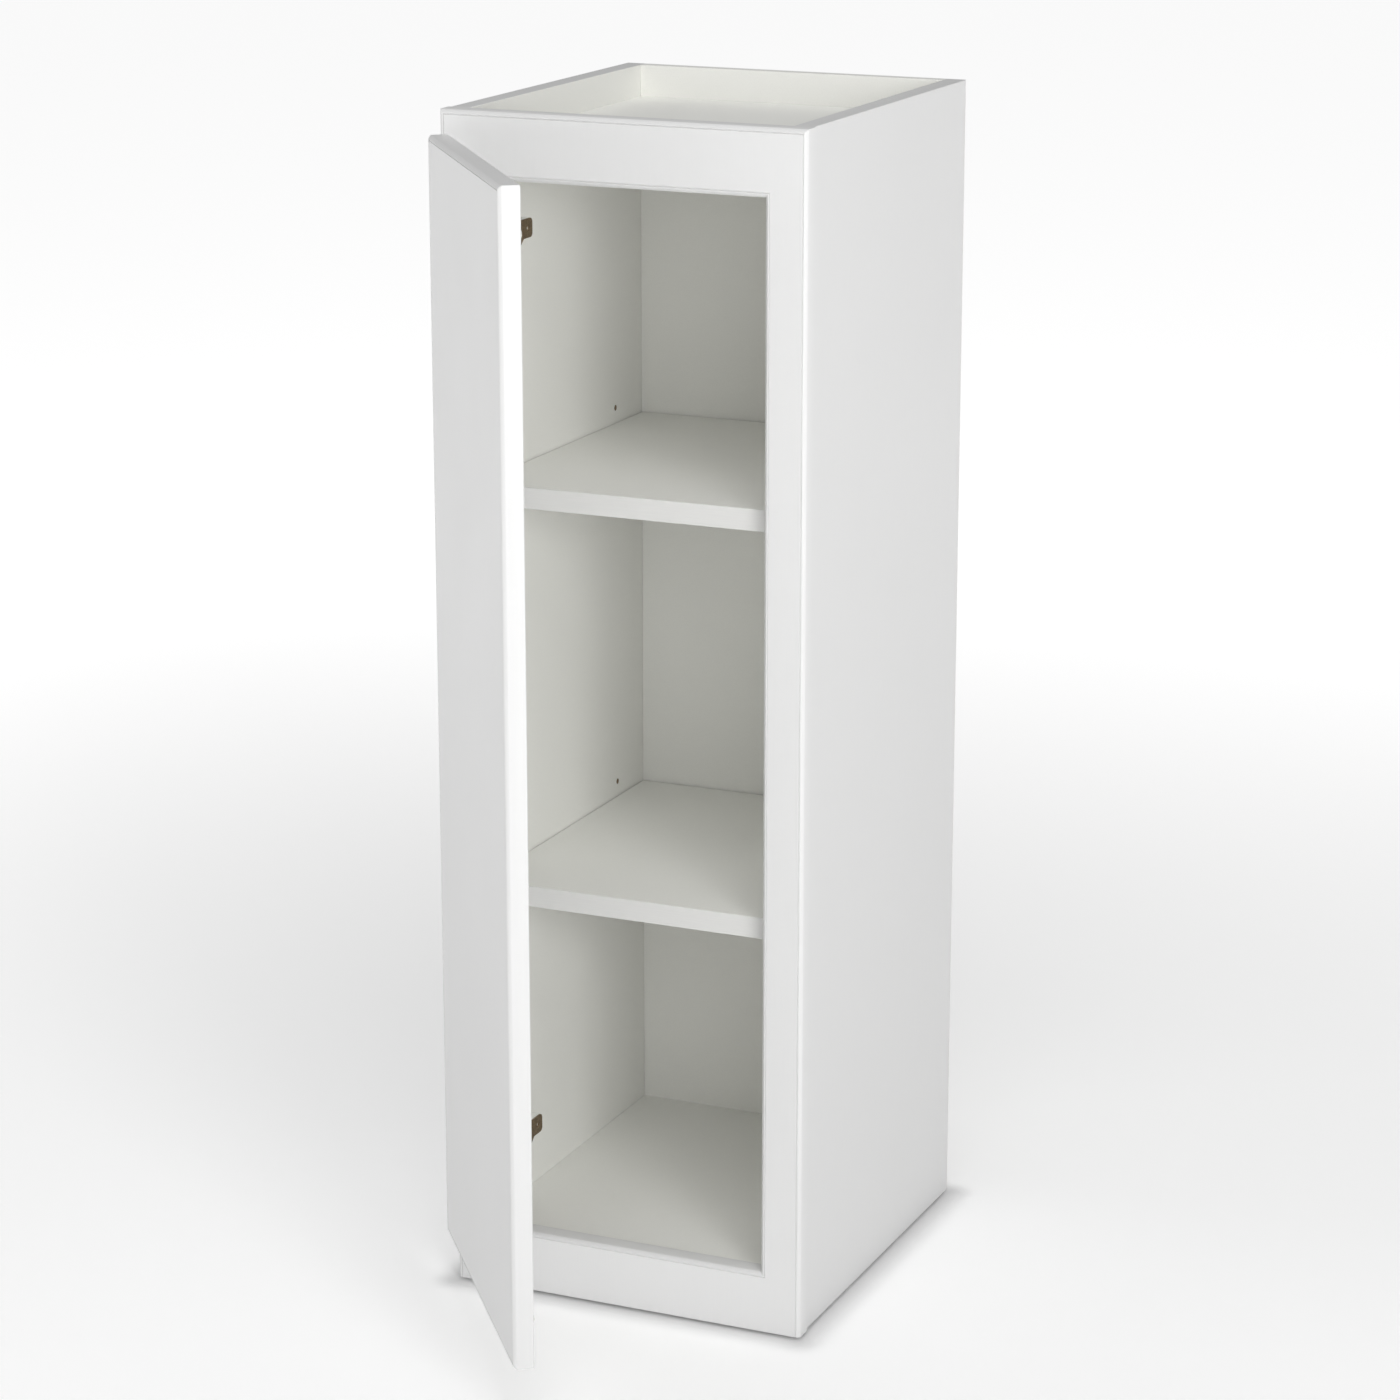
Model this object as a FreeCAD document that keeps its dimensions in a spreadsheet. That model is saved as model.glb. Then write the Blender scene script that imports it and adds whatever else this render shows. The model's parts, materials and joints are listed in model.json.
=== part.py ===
import FreeCAD, Part
import Sketcher
import os
from FreeCAD import Rotation, Vector

# Tall narrow face-frame cabinet: a carcass of boards behind a face frame, one slab door on two
# wrap-around hinges, two adjustable shelves on pins, and a shallow recess on top.
# Millimetres. X runs left to right, Y from front to back, Z up. The origin is on the floor, on
# the centre line, in the middle of the bottom rail's underside.

doc = FreeCAD.newDocument("FaceFrameCabinet")
sheet = doc.addObject("Spreadsheet::Sheet", "Sizes")

SIZES = [
    ("height", 1067, "whole cabinet, 42 in"),
    ("width", 338, "across the face frame"),
    ("depth", 378, "front of the face frame to the back"),
    ("frame_thick", 19, "face frame"),
    ("stile_width", 38, "uprights of the face frame"),
    ("top_rail", 58, "height of the top rail"),
    ("bottom_rail", 56, "height of the bottom rail"),
    ("edge_round", 2.5, "eased edges of the frame and the door"),
    ("overhang", 2, "the frame stands this far past each side panel"),
    ("side_thick", 18, "side, top and bottom panels"),
    ("back_thick", 12, "back panel, let in between the sides"),
    ("top_recess", 29, "top panel's upper face below the top edge"),
    ("floor_level", 52, "bottom panel's upper face above the floor"),
    ("shelf_thick", 19, "shelf board"),
    ("shelf_gap", 1, "shelf to each side panel"),
    ("shelf_setback", 2, "shelf's front edge behind the face frame"),
    ("shelf_rear_gap", 2, "shelf to the back panel"),
    ("band_thick", 1, "edge band on the front of a shelf"),
    ("shelf_low", 378, "lower shelf's upper face"),
    ("shelf_high", 741, "upper shelf's upper face"),
    ("peg_radius", 2.5, "shelf pin and its hole"),
    ("peg_hole_depth", 10, "shelf pin hole"),
    ("peg_length", 9, "part of a shelf pin inside its hole"),
    ("peg_drop", 5, "pin's centre below the shelf's underside"),
    ("peg_pitch", 38, "one shelf position to the next"),
    ("peg_front", 56, "front pins behind the shelf's front edge"),
    ("spoon_reach", 13, "pin's flat under the shelf"),
    ("spoon_thick", 1.6, "pin's flat"),
    ("spoon_width", 10, "pin's flat"),
    ("dowel_radius", 4, "wooden dowels"),
    ("rail_dowel", 40, "dowel between a rail and a stile"),
    ("panel_dowel", 30, "dowel between two boards"),
    ("dowel_bite", 10, "panel dowel's depth in the face it stands on"),
    ("door_width", 310, "slab door"),
    ("door_height", 995, "slab door"),
    ("door_thick", 18, "slab door"),
    ("door_bottom", 52, "door's lower edge above the floor"),
    ("door_gap", 3, "closed door to the face frame"),
    ("open_angle", 52.4, "door at rest, from closed"),
    ("pin_inset", 9.5, "hinge pin's axis from the frame's left edge"),
    ("pin_forward", 3.2, "hinge pin's axis in front of the frame"),
    ("pin_radius", 1.25, "hinge pin"),
    ("pin_clearance", 0.05, "hinge pin to the door leaf's knuckles"),
    ("pin_head_share", 1.7, "radius of a pin's head over the pin's"),
    ("barrel_radius", 2.8, "hinge knuckles"),
    ("knuckle", 9, "height of one knuckle"),
    ("knuckle_gap", 0.15, "between two knuckles"),
    ("notch_reach", 3.4, "leaf cut back from the axis beside the other leaf's knuckle"),
    ("frame_leaf_thick", 1.5, "hinge leaf on the frame"),
    ("door_leaf_thick", 1.2, "hinge leaf on the door"),
    ("door_leaf_width", 30, "from the axis"),
    ("leaf_base", 58, "full-height part of the frame leaf, from the frame's front"),
    ("tongue_length", 97, "frame leaf's narrow end, from the frame's front"),
    ("tongue_half", 8.5, "half the height of the narrow end"),
    ("tongue_offset", 5, "narrow end's middle above the knuckles' middle"),
    ("flare_low", 22, "leaf's lower slope down to the narrow end, along the leaf"),
    ("flare_high", 8, "leaf's upper slope down to the narrow end, along the leaf"),
    ("tongue_round", 4, "narrow end's corners"),
    ("spare_inset", 9, "spare hole's middle from the narrow end"),
    ("hinge_low", 118, "lower hinge's middle"),
    ("hinge_high", 950.5, "upper hinge's middle"),
    ("screw_radius", 1.5, "hinge screws"),
    ("screw_head", 2.5, "hinge screws' countersunk heads"),
    ("screw_head_height", 1, "hinge screws' countersunk heads"),
    ("screw_length", 14, "hinge screws"),
    ("stile_screw_rise", 13, "screws in the stile, above and below the barrel's middle"),
    ("block_screw_reach", 45, "screw in the packing block, behind the frame's front"),
    ("door_screw_near", 12, "two door leaf screws, from the axis"),
    ("door_screw_far", 23, "third door leaf screw, from the axis"),
    ("door_screw_rise", 14, "the two screws above and below the barrel's middle"),
    ("spare_hole", 2, "spare round hole near the end of the frame leaf"),
    ("back_screw_radius", 1.75, "screws through the back panel"),
    ("back_screw_head", 3.75, "their countersunk heads"),
    ("back_screw_length", 30, "screws through the back panel"),
    ("bumper_radius", 4.5, "soft pads on the door's back"),
    ("bumper_thick", 2.8, "soft pads on the door's back"),
    ("bumper_inset", 12, "pads' middles from the door's free edge"),
    ("bumper_rise", 40, "pads' middles from the door's top and bottom"),
]

for row, (alias, value, note) in enumerate(SIZES, start=1):
    sheet.set(f"A{row}", note)
    sheet.set(f"B{row}", str(value))
    sheet.setAlias(f"B{row}", alias)
doc.recompute()

# Places that many sub-parts share, written as expressions on the sheet.
HALF_WIDTH = "Sizes.width / 2"
FRAME_FRONT = "(-Sizes.frame_thick / 2)"
FRAME_BACK = "Sizes.frame_thick / 2"
BACK_FACE = "(Sizes.depth - Sizes.frame_thick / 2)"
SIDE_OUTER = "(Sizes.width / 2 - Sizes.overhang)"
SIDE_INNER = "(Sizes.width / 2 - Sizes.overhang - Sizes.side_thick)"
SIDE_DEPTH = "(Sizes.depth - Sizes.frame_thick)"
INNER_WIDTH = "(Sizes.width - 2 * Sizes.overhang - 2 * Sizes.side_thick)"
INNER_DEPTH = "(Sizes.depth - Sizes.frame_thick - Sizes.back_thick)"
RAIL_LENGTH = "(Sizes.width - 2 * Sizes.stile_width)"
TOP_PANEL_BASE = "(Sizes.height - Sizes.top_recess - Sizes.side_thick)"
BOTTOM_PANEL_BASE = "(Sizes.floor_level - Sizes.side_thick)"
SHELF_DEPTH = f"({INNER_DEPTH} - Sizes.shelf_setback - Sizes.shelf_rear_gap - Sizes.band_thick)"
PIN_X = "(Sizes.pin_inset - Sizes.width / 2)"
PIN_Y = "(-Sizes.frame_thick / 2 - Sizes.pin_forward)"
FRAME_LEAF_X = "(Sizes.stile_width - Sizes.pin_inset)"
DOOR_BACK = "(Sizes.pin_forward - Sizes.door_gap)"
DOOR_EDGE = "((Sizes.width - Sizes.door_width) / 2 - Sizes.pin_inset)"
DOOR_LEAF_FACE = f"({DOOR_BACK} + Sizes.door_leaf_thick)"
PANEL_MIDDLES = [f"({base} + Sizes.side_thick / 2)"
                 for base in (TOP_PANEL_BASE, BOTTOM_PANEL_BASE)]
DOWEL_DEPTH = "(Sizes.panel_dowel - Sizes.dowel_bite)"

# Depths of the shelf pins behind the face frame's back.
PEG_DEPTHS = ["(Sizes.shelf_setback + Sizes.peg_front)",
              f"({INNER_DEPTH} - Sizes.shelf_rear_gap - Sizes.peg_front)"]

# The five knuckles of a hinge, numbered from below, and whose they are.
KNUCKLES = 5
FRAME_KNUCKLES = (0, 2, 4)
DOOR_KNUCKLES = (1, 3)
BARREL = f"(Sizes.knuckle * {KNUCKLES})"
BARREL_HALF = f"{BARREL} / 2"

# Screws: shank radius, head radius, head height and length; then the places of one hinge's.
COUNTERSINK = 45.0
HINGE_SCREW = ("Sizes.screw_radius", "Sizes.screw_head", "Sizes.screw_head_height",
               "Sizes.screw_length")
BACK_SCREW = ("Sizes.back_screw_radius", "Sizes.back_screw_head",
              "(Sizes.back_screw_head - Sizes.back_screw_radius)", "Sizes.back_screw_length")
STILE_SCREW_RISES = ["Sizes.stile_screw_rise", "-Sizes.stile_screw_rise"]
DOOR_LEAF_SCREWS = [("Sizes.door_screw_near", "Sizes.door_screw_rise"),
                    ("Sizes.door_screw_near", "-Sizes.door_screw_rise"),
                    ("Sizes.door_screw_far", "0")]

# Dowels and screws: fractions of the board they are spread along.
PANEL_DOWELS = [0.12, 0.5, 0.88]
STILE_DOWELS = [0.12, 0.38, 0.62, 0.88]
RAIL_DOWELS = [0.26, 0.74]
BACK_SCREWS = [0.13, 0.5, 0.87]
HINGES = {"upper": "Sizes.hinge_high", "lower": "Sizes.hinge_low"}
SHELVES = {"upper": "Sizes.shelf_high", "lower": "Sizes.shelf_low"}

# Rails: the lower edge and the height.
RAILS = {"rail_top": ("(Sizes.height - Sizes.top_rail)", "Sizes.top_rail"),
         "rail_bottom": ("0", "Sizes.bottom_rail")}

nodes = []


def place(obj, x, y, z):
    """Bind an object's place to three expressions."""
    obj.setExpression("Placement.Base.x", x)
    obj.setExpression("Placement.Base.y", y)
    obj.setExpression("Placement.Base.z", z)


def hang_on_pin(obj, z="0"):
    """Place a door piece, which is drawn from the hinge pin's axis, at the door's angle."""
    place(obj, PIN_X, PIN_Y, z)
    obj.Placement.Rotation = Rotation(Vector(0, 0, 1), -1)
    obj.setExpression("Placement.Rotation.Angle", "-Sizes.open_angle * 1 deg")


def new_body(label, x="0", y="0", z="0"):
    """An empty sub-part. Its label is its name, and three expressions place it."""
    body = doc.addObject("PartDesign::Body", label)
    body.Label = label
    body.AllowCompound = True
    place(body, x, y, z)
    nodes.append(body)
    return body


def new_sketch(body, plane, offset="0"):
    """A sketch on one of the body's origin planes, moved along that plane's normal."""
    sketch = body.newObject("Sketcher::SketchObject", f"{body.Name}_sketch")
    origin = [feature for feature in body.Origin.OriginFeatures if feature.Role == plane][0]
    sketch.AttachmentSupport = [(origin, "")]
    sketch.MapMode = "FlatFace"
    sketch.setExpression("AttachmentOffset.Base.z", offset)
    return sketch


def hold_point(sketch, element, point, x, y):
    """Hold a point of a sketch at two expressions, measured from the sketch's origin."""
    for kind, expression in (("DistanceX", x), ("DistanceY", y)):
        number = sketch.addConstraint(Sketcher.Constraint(kind, -1, 1, element, point, 1.0))
        sketch.setExpression(f"Constraints[{number}]", expression)


def circles(sketch, spots, radius):
    """Circles of one radius at the spots, which are pairs of expressions."""
    for count, (x, y) in enumerate(spots):
        start = Part.Circle(Vector(10.0 * count, 5.0, 0), Vector(0, 0, 1), 1.0)
        circle = sketch.addGeometry(start, False)
        hold_point(sketch, circle, 3, x, y)
        number = sketch.addConstraint(Sketcher.Constraint("Radius", circle, 1.0))
        sketch.setExpression(f"Constraints[{number}]", radius)


def polygon(sketch, corners):
    """A closed outline of straight lines through corners given as pairs of expressions."""
    count = len(corners)
    first = sketch.GeometryCount
    for index in range(count):
        start = Vector(index, index % 2, 0)
        end = Vector(index + 1, (index + 1) % 2, 0)
        sketch.addGeometry(Part.LineSegment(start, end), False)
    for index in range(count):
        following = first + (index + 1) % count
        sketch.addConstraint(Sketcher.Constraint("Coincident", first + index, 2, following, 1))
    for index, (x, y) in enumerate(corners):
        hold_point(sketch, first + index, 1, x, y)


def rectangle(sketch, x0, y0, x1, y1):
    polygon(sketch, [(x0, y0), (x1, y0), (x1, y1), (x0, y1)])


def finish_feature(body, feature, expected):
    """Recompute, and stop if the feature failed or changed the solid the wrong way."""
    before = body_volume(body)
    body.Tip = feature
    doc.recompute()
    change = feature.Shape.Volume - before
    if "Invalid" in feature.State or change * expected <= 0:
        raise RuntimeError(f"{feature.Name} changed the volume by {change:.3f}")
    return feature


def body_volume(body):
    if body.Tip is None or body.Tip.Shape.isNull():
        return 0.0
    return body.Tip.Shape.Volume


def pad(body, sketch, length, backwards=False, taper=None):
    """Add material along the sketch's normal, or against it."""
    before_tip = body.Tip
    feature = body.newObject("PartDesign::Pad", f"{body.Name}_pad")
    body.Tip = before_tip
    feature.Profile = sketch
    feature.setExpression("Length", length)
    feature.Reversed = backwards
    if taper is not None:
        feature.TaperAngle = taper
    return finish_feature(body, feature, 1)


def cut(body, sketch, length, forwards=False, taper=None):
    """Remove material against the sketch's normal, or along it."""
    before_tip = body.Tip
    feature = body.newObject("PartDesign::Pocket", f"{body.Name}_cut")
    body.Tip = before_tip
    feature.Profile = sketch
    feature.setExpression("Length", length)
    feature.Reversed = forwards
    if taper is not None:
        feature.TaperAngle = taper
    return finish_feature(body, feature, -1)


def mirror_left_to_right(body):
    """Repeat what was added to the body on the other side of its YZ plane."""
    features = [f for f in body.Group if f.TypeId == "PartDesign::Pad"]
    mirrored = body.newObject("PartDesign::Mirrored", f"{body.Name}_mirror")
    mirrored.Originals = features
    plane = [f for f in body.Origin.OriginFeatures if f.Role == "YZ_Plane"][0]
    mirrored.MirrorPlane = (plane, [""])
    body.Tip = mirrored
    doc.recompute()


def round_edges(body, radius, wanted):
    """Round every straight edge of the body that the test accepts."""
    base = body.Tip
    names = []
    for number, edge in enumerate(base.Shape.Edges, start=1):
        if isinstance(edge.Curve, Part.Line) and wanted(edge):
            names.append(f"Edge{number}")
    feature = body.newObject("PartDesign::Fillet", f"{body.Name}_round")
    body.Tip = base
    feature.Base = (base, names)
    feature.setExpression("Radius", radius)
    finish_feature(body, feature, -1)


def near(value, target):
    return abs(value - target) < 0.01


def along_x(edge):
    return near(abs(edge.tangentAt(edge.FirstParameter).x), 1)


def board(label, plane, size, thickness, x, y, z):
    """A flat board: a rectangle from the body's corner, padded along the plane's normal."""
    body = new_body(label, x, y, z)
    sketch = new_sketch(body, plane)
    rectangle(sketch, "0", "0", *size)
    pad(body, sketch, thickness)
    return body


def drill(body, plane, offset, spots, radius, depth, forwards=False):
    """Plain round holes at the spots, from a face on the given plane."""
    sketch = new_sketch(body, plane, offset)
    circles(sketch, spots, radius)
    cut(body, sketch, depth, forwards)


def screws(body, plane, offset, spots, sizes, backwards=False):
    """Countersunk screws with their heads on the plane."""
    radius, head, head_height, length = sizes
    shank = new_sketch(body, plane, offset)
    circles(shank, spots, radius)
    pad(body, shank, length, backwards)
    cone = new_sketch(body, plane, offset)
    circles(cone, spots, head)
    pad(body, cone, head_height, backwards, taper=-COUNTERSINK)


def screw_holes(body, plane, offset, spots, sizes, forwards=False):
    """Countersunk holes that take those screws."""
    radius, head, head_height, length = sizes
    drill(body, plane, offset, spots, radius, length, forwards)
    cone = new_sketch(body, plane, offset)
    circles(cone, spots, head)
    cut(body, cone, head_height, forwards, taper=-COUNTERSINK)


def peg_heights():
    """Heights of the shelf-pin holes: each shelf's own, and one pitch above and below."""
    heights = []
    for top in SHELVES.values():
        for step in ("-1", "0", "1"):
            heights.append(f"({top} - Sizes.shelf_thick - Sizes.peg_drop"
                           f" + {step} * Sizes.peg_pitch)")
    return heights


def side_panel(label, left):
    """A full-height side, drilled on its inner face and along its front edge."""
    x = f"-{SIDE_OUTER}" if left else SIDE_INNER
    body = board(label, "YZ_Plane", (SIDE_DEPTH, "Sizes.height"), "Sizes.side_thick",
                 x, FRAME_BACK, "0")
    inner_face = "Sizes.side_thick" if left else "0"
    pegs = [(depth, height) for depth in PEG_DEPTHS for height in peg_heights()]
    drill(body, "YZ_Plane", inner_face, pegs, "Sizes.peg_radius", "Sizes.peg_hole_depth",
          forwards=not left)
    dowels = [(f"{INNER_DEPTH} * {share}", middle)
              for share in PANEL_DOWELS for middle in PANEL_MIDDLES]
    drill(body, "YZ_Plane", inner_face, dowels, "Sizes.dowel_radius", "Sizes.dowel_bite",
          forwards=not left)
    frame_dowels = [("Sizes.side_thick / 2", f"Sizes.height * {share}")
                    for share in STILE_DOWELS]
    drill(body, "XZ_Plane", "0", frame_dowels, "Sizes.dowel_radius", DOWEL_DEPTH)


def deck(label, base):
    """The top or bottom panel, doweled at its ends and screwed along its rear edge."""
    body = board(label, "XY_Plane", (INNER_WIDTH, INNER_DEPTH), "Sizes.side_thick",
                 f"-{SIDE_INNER}", FRAME_BACK, base)
    ends = [(f"{INNER_DEPTH} * {share}", "Sizes.side_thick / 2") for share in PANEL_DOWELS]
    drill(body, "YZ_Plane", "0", ends, "Sizes.dowel_radius", DOWEL_DEPTH, forwards=True)
    drill(body, "YZ_Plane", INNER_WIDTH, ends, "Sizes.dowel_radius", DOWEL_DEPTH)
    rear = [(f"{INNER_WIDTH} * {share}", "Sizes.side_thick / 2") for share in BACK_SCREWS]
    drill(body, "XZ_Plane", f"-{INNER_DEPTH}", rear, "Sizes.back_screw_radius",
          "(Sizes.back_screw_length - Sizes.back_thick)", forwards=True)


def back_panel():
    """The back, let in between the sides and screwed to the top and bottom panels."""
    body = board("back_panel", "XZ_Plane", (INNER_WIDTH, "Sizes.height"), "Sizes.back_thick",
                 f"-{SIDE_INNER}", BACK_FACE, "0")
    spots = [(f"{INNER_WIDTH} * {share}", middle)
             for share in BACK_SCREWS for middle in PANEL_MIDDLES]
    screw_holes(body, "XZ_Plane", "0", spots, BACK_SCREW, forwards=True)


def stile(label, left):
    """An upright of the face frame, with an eased outer edge."""
    x = f"-{HALF_WIDTH}" if left else f"({HALF_WIDTH} - Sizes.stile_width)"
    body = board(label, "XZ_Plane", ("Sizes.stile_width", "Sizes.height"),
                 "Sizes.frame_thick", x, FRAME_BACK, "0")
    inner_edge = "Sizes.stile_width" if left else "0"
    middle = "-Sizes.frame_thick / 2"
    rails = [(middle, height) for height in rail_dowel_heights()]
    drill(body, "YZ_Plane", inner_edge, rails, "Sizes.dowel_radius", "Sizes.rail_dowel / 2",
          forwards=not left)
    over_side = "(Sizes.overhang + Sizes.side_thick / 2)"
    across = over_side if left else f"(Sizes.stile_width - {over_side})"
    sides = [(across, f"Sizes.height * {share}") for share in STILE_DOWELS]
    drill(body, "XZ_Plane", "0", sides, "Sizes.dowel_radius", "Sizes.dowel_bite",
          forwards=True)
    if left:
        screw_spots = [(middle, f"({hinge} + {rise})")
                       for hinge in HINGES.values() for rise in STILE_SCREW_RISES]
        drill(body, "YZ_Plane", inner_edge, screw_spots, "Sizes.screw_radius",
              "(Sizes.screw_length - Sizes.frame_leaf_thick)")
    front = -float(sheet.get("frame_thick"))
    outer = 0.0 if left else float(sheet.get("stile_width"))
    top = float(sheet.get("height"))

    def outer_front(edge):
        middle = edge.CenterOfMass
        return near(middle.y, front) and (near(middle.x, outer) or near(middle.z, top))

    round_edges(body, "Sizes.edge_round", outer_front)


def rail_dowel_heights():
    return [f"({base} + {rail_height} * {share})"
            for base, rail_height in RAILS.values() for share in RAIL_DOWELS]


def rail(name):
    """A rail of the face frame between the stiles. Its front edges are eased, apart from one
    on the floor."""
    base, rail_height = RAILS[name]
    body = board(name, "XZ_Plane", (RAIL_LENGTH, rail_height), "Sizes.frame_thick",
                 f"-{RAIL_LENGTH} / 2", FRAME_BACK, base)
    ends = [("-Sizes.frame_thick / 2", f"{rail_height} * {share}") for share in RAIL_DOWELS]
    drill(body, "YZ_Plane", "0", ends, "Sizes.dowel_radius", "Sizes.rail_dowel / 2",
          forwards=True)
    drill(body, "YZ_Plane", RAIL_LENGTH, ends, "Sizes.dowel_radius", "Sizes.rail_dowel / 2")
    front = -float(sheet.get("frame_thick"))

    on_floor = base == "0"

    def front_edge(edge):
        middle = edge.CenterOfMass
        lowest = near(middle.z, 0)
        return near(middle.y, front) and along_x(edge) and not (on_floor and lowest)

    round_edges(body, "Sizes.edge_round", front_edge)


def rail_dowels():
    body = new_body("rail_dowels")
    sketch = new_sketch(body, "YZ_Plane", f"-({RAIL_LENGTH} + Sizes.rail_dowel) / 2")
    circles(sketch, [("0", height) for height in rail_dowel_heights()], "Sizes.dowel_radius")
    pad(body, sketch, "Sizes.rail_dowel")
    mirror_left_to_right(body)


def carcass_dowels():
    body = new_body("carcass_dowels", y=FRAME_BACK)
    sketch = new_sketch(body, "YZ_Plane", f"-{SIDE_INNER} - Sizes.dowel_bite")
    spots = [(f"{INNER_DEPTH} * {share}", middle)
             for share in PANEL_DOWELS for middle in PANEL_MIDDLES]
    circles(sketch, spots, "Sizes.dowel_radius")
    pad(body, sketch, "Sizes.panel_dowel")
    mirror_left_to_right(body)


def frame_dowels():
    body = new_body("frame_dowels", y=FRAME_BACK)
    sketch = new_sketch(body, "XZ_Plane", "Sizes.dowel_bite")
    across = f"(Sizes.side_thick / 2 - {SIDE_OUTER})"
    circles(sketch, [(across, f"Sizes.height * {share}") for share in STILE_DOWELS],
            "Sizes.dowel_radius")
    pad(body, sketch, "Sizes.panel_dowel", backwards=True)
    mirror_left_to_right(body)


def back_screws():
    body = new_body("back_screws", f"-{SIDE_INNER}", BACK_FACE)
    spots = [(f"{INNER_WIDTH} * {share}", middle)
             for share in BACK_SCREWS for middle in PANEL_MIDDLES]
    screws(body, "XZ_Plane", "0", spots, BACK_SCREW)


def shelf(name, top):
    """A shelf board with its front edge band."""
    width = f"({INNER_WIDTH} - 2 * Sizes.shelf_gap)"
    x = f"-{SIDE_INNER} + Sizes.shelf_gap"
    y = f"{FRAME_BACK} + Sizes.shelf_setback + Sizes.band_thick"
    z = f"{top} - Sizes.shelf_thick"
    board(f"shelf_{name}", "XY_Plane", (width, SHELF_DEPTH), "Sizes.shelf_thick", x, y, z)
    board(f"shelf_band_{name}", "XZ_Plane", (width, "Sizes.shelf_thick"), "Sizes.band_thick",
          x, y, z)


def shelf_pins(name, top):
    """Four pins: a peg in the side panel, and a flat that carries the shelf."""
    body = new_body(f"shelf_pins_{name}", "0", FRAME_BACK,
                    f"{top} - Sizes.shelf_thick - Sizes.peg_drop")
    wall = f"-{SIDE_INNER}"
    pegs = new_sketch(body, "YZ_Plane", wall)
    circles(pegs, [(depth, "0") for depth in PEG_DEPTHS], "Sizes.peg_radius")
    pad(body, pegs, "Sizes.peg_length", backwards=True)
    lowest = "-Sizes.spoon_width / 2"
    for bottom, reach in ((lowest, "Sizes.spoon_thick"),
                          ("(Sizes.peg_drop - Sizes.spoon_thick)", "Sizes.spoon_reach")):
        plate = new_sketch(body, "YZ_Plane", wall)
        for depth in PEG_DEPTHS:
            rectangle(plate, f"{depth} - Sizes.spoon_width / 2", bottom,
                      f"{depth} + Sizes.spoon_width / 2", "Sizes.peg_drop")
        pad(body, plate, reach)
    mirror_left_to_right(body)


def tongue_outline(start):
    """Side view of the frame leaf, from a start depth: full height, then the narrow end."""
    low = "(Sizes.tongue_offset - Sizes.tongue_half)"
    high = "(Sizes.tongue_offset + Sizes.tongue_half)"
    return [(start, f"-{BARREL_HALF}"),
            ("Sizes.leaf_base", f"-{BARREL_HALF}"),
            ("Sizes.leaf_base + Sizes.flare_low", low),
            ("Sizes.tongue_length", low),
            ("Sizes.tongue_length", high),
            ("Sizes.leaf_base + Sizes.flare_high", high),
            ("Sizes.leaf_base", BARREL_HALF),
            (start, BARREL_HALF)]


def round_tongue(body):
    """Round the two corners of the narrow end."""
    end = max(vertex.Y for vertex in body.Tip.Shape.Vertexes)

    def corner(edge):
        return near(edge.CenterOfMass.y, end) and along_x(edge)

    round_edges(body, "Sizes.tongue_round", corner)


def hinge_block(name, hinge):
    """A packing block on the left side panel, flush with the stile's inner edge."""
    body = new_body(f"hinge_block_{name}", f"-{SIDE_INNER}", FRAME_FRONT, hinge)
    outline = new_sketch(body, "YZ_Plane")
    polygon(outline, tongue_outline("Sizes.frame_thick"))
    thickness = "(Sizes.stile_width - Sizes.overhang - Sizes.side_thick)"
    pad(body, outline, thickness)
    round_tongue(body)
    drill(body, "YZ_Plane", thickness, [("Sizes.block_screw_reach", "Sizes.tongue_offset")],
          "Sizes.screw_radius", "(Sizes.screw_length - Sizes.frame_leaf_thick)")


def knuckles(body, others, bore):
    """The barrel of a hinge leaf, cut away at the other leaf's knuckles and bored for the
    pin."""
    barrel = new_sketch(body, "XY_Plane", f"-{BARREL_HALF}")
    circles(barrel, [("0", "0")], "Sizes.barrel_radius")
    pad(body, barrel, BARREL)
    side = "(Sizes.barrel_radius * 1.5)"
    for number in others:
        low = f"(-{BARREL_HALF} + Sizes.knuckle * {number} - Sizes.knuckle_gap)"
        high = f"(-{BARREL_HALF} + Sizes.knuckle * {number + 1} + Sizes.knuckle_gap)"
        notch = new_sketch(body, "XZ_Plane", f"-{side}")
        rectangle(notch, f"-{side}", low, "Sizes.notch_reach", high)
        cut(body, notch, f"2 * {side}", forwards=True)
    drill(body, "XY_Plane", BARREL_HALF, [("0", "0")], bore, BARREL)


def frame_leaf(name, hinge):
    """The hinge leaf on the frame: it lies in front of the stile, wraps round its inner
    edge and runs back over the packing block to a narrow rounded end."""
    body = new_body(f"frame_leaf_{name}", PIN_X, PIN_Y, hinge)
    plate = new_sketch(body, "YZ_Plane", FRAME_LEAF_X)
    front = "(Sizes.pin_forward - Sizes.frame_leaf_thick)"
    corners = [(f"{y} + Sizes.pin_forward", z)
               for y, z in tongue_outline("-Sizes.frame_leaf_thick")]
    polygon(plate, corners)
    pad(body, plate, "Sizes.frame_leaf_thick")
    round_tongue(body)
    flange = new_sketch(body, "XY_Plane", f"-{BARREL_HALF}")
    rectangle(flange, "0", front, f"{FRAME_LEAF_X} + Sizes.frame_leaf_thick / 2",
              "Sizes.pin_forward")
    pad(body, flange, BARREL)
    knuckles(body, DOOR_KNUCKLES, "Sizes.pin_radius")
    face = f"{FRAME_LEAF_X} + Sizes.frame_leaf_thick"
    screw_holes(body, "YZ_Plane", face, frame_leaf_screw_spots(), HINGE_SCREW)
    spare = ("Sizes.pin_forward + Sizes.tongue_length - Sizes.spare_inset",
             "Sizes.tongue_offset")
    drill(body, "YZ_Plane", face, [spare], "Sizes.spare_hole", "Sizes.frame_leaf_thick")


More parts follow.
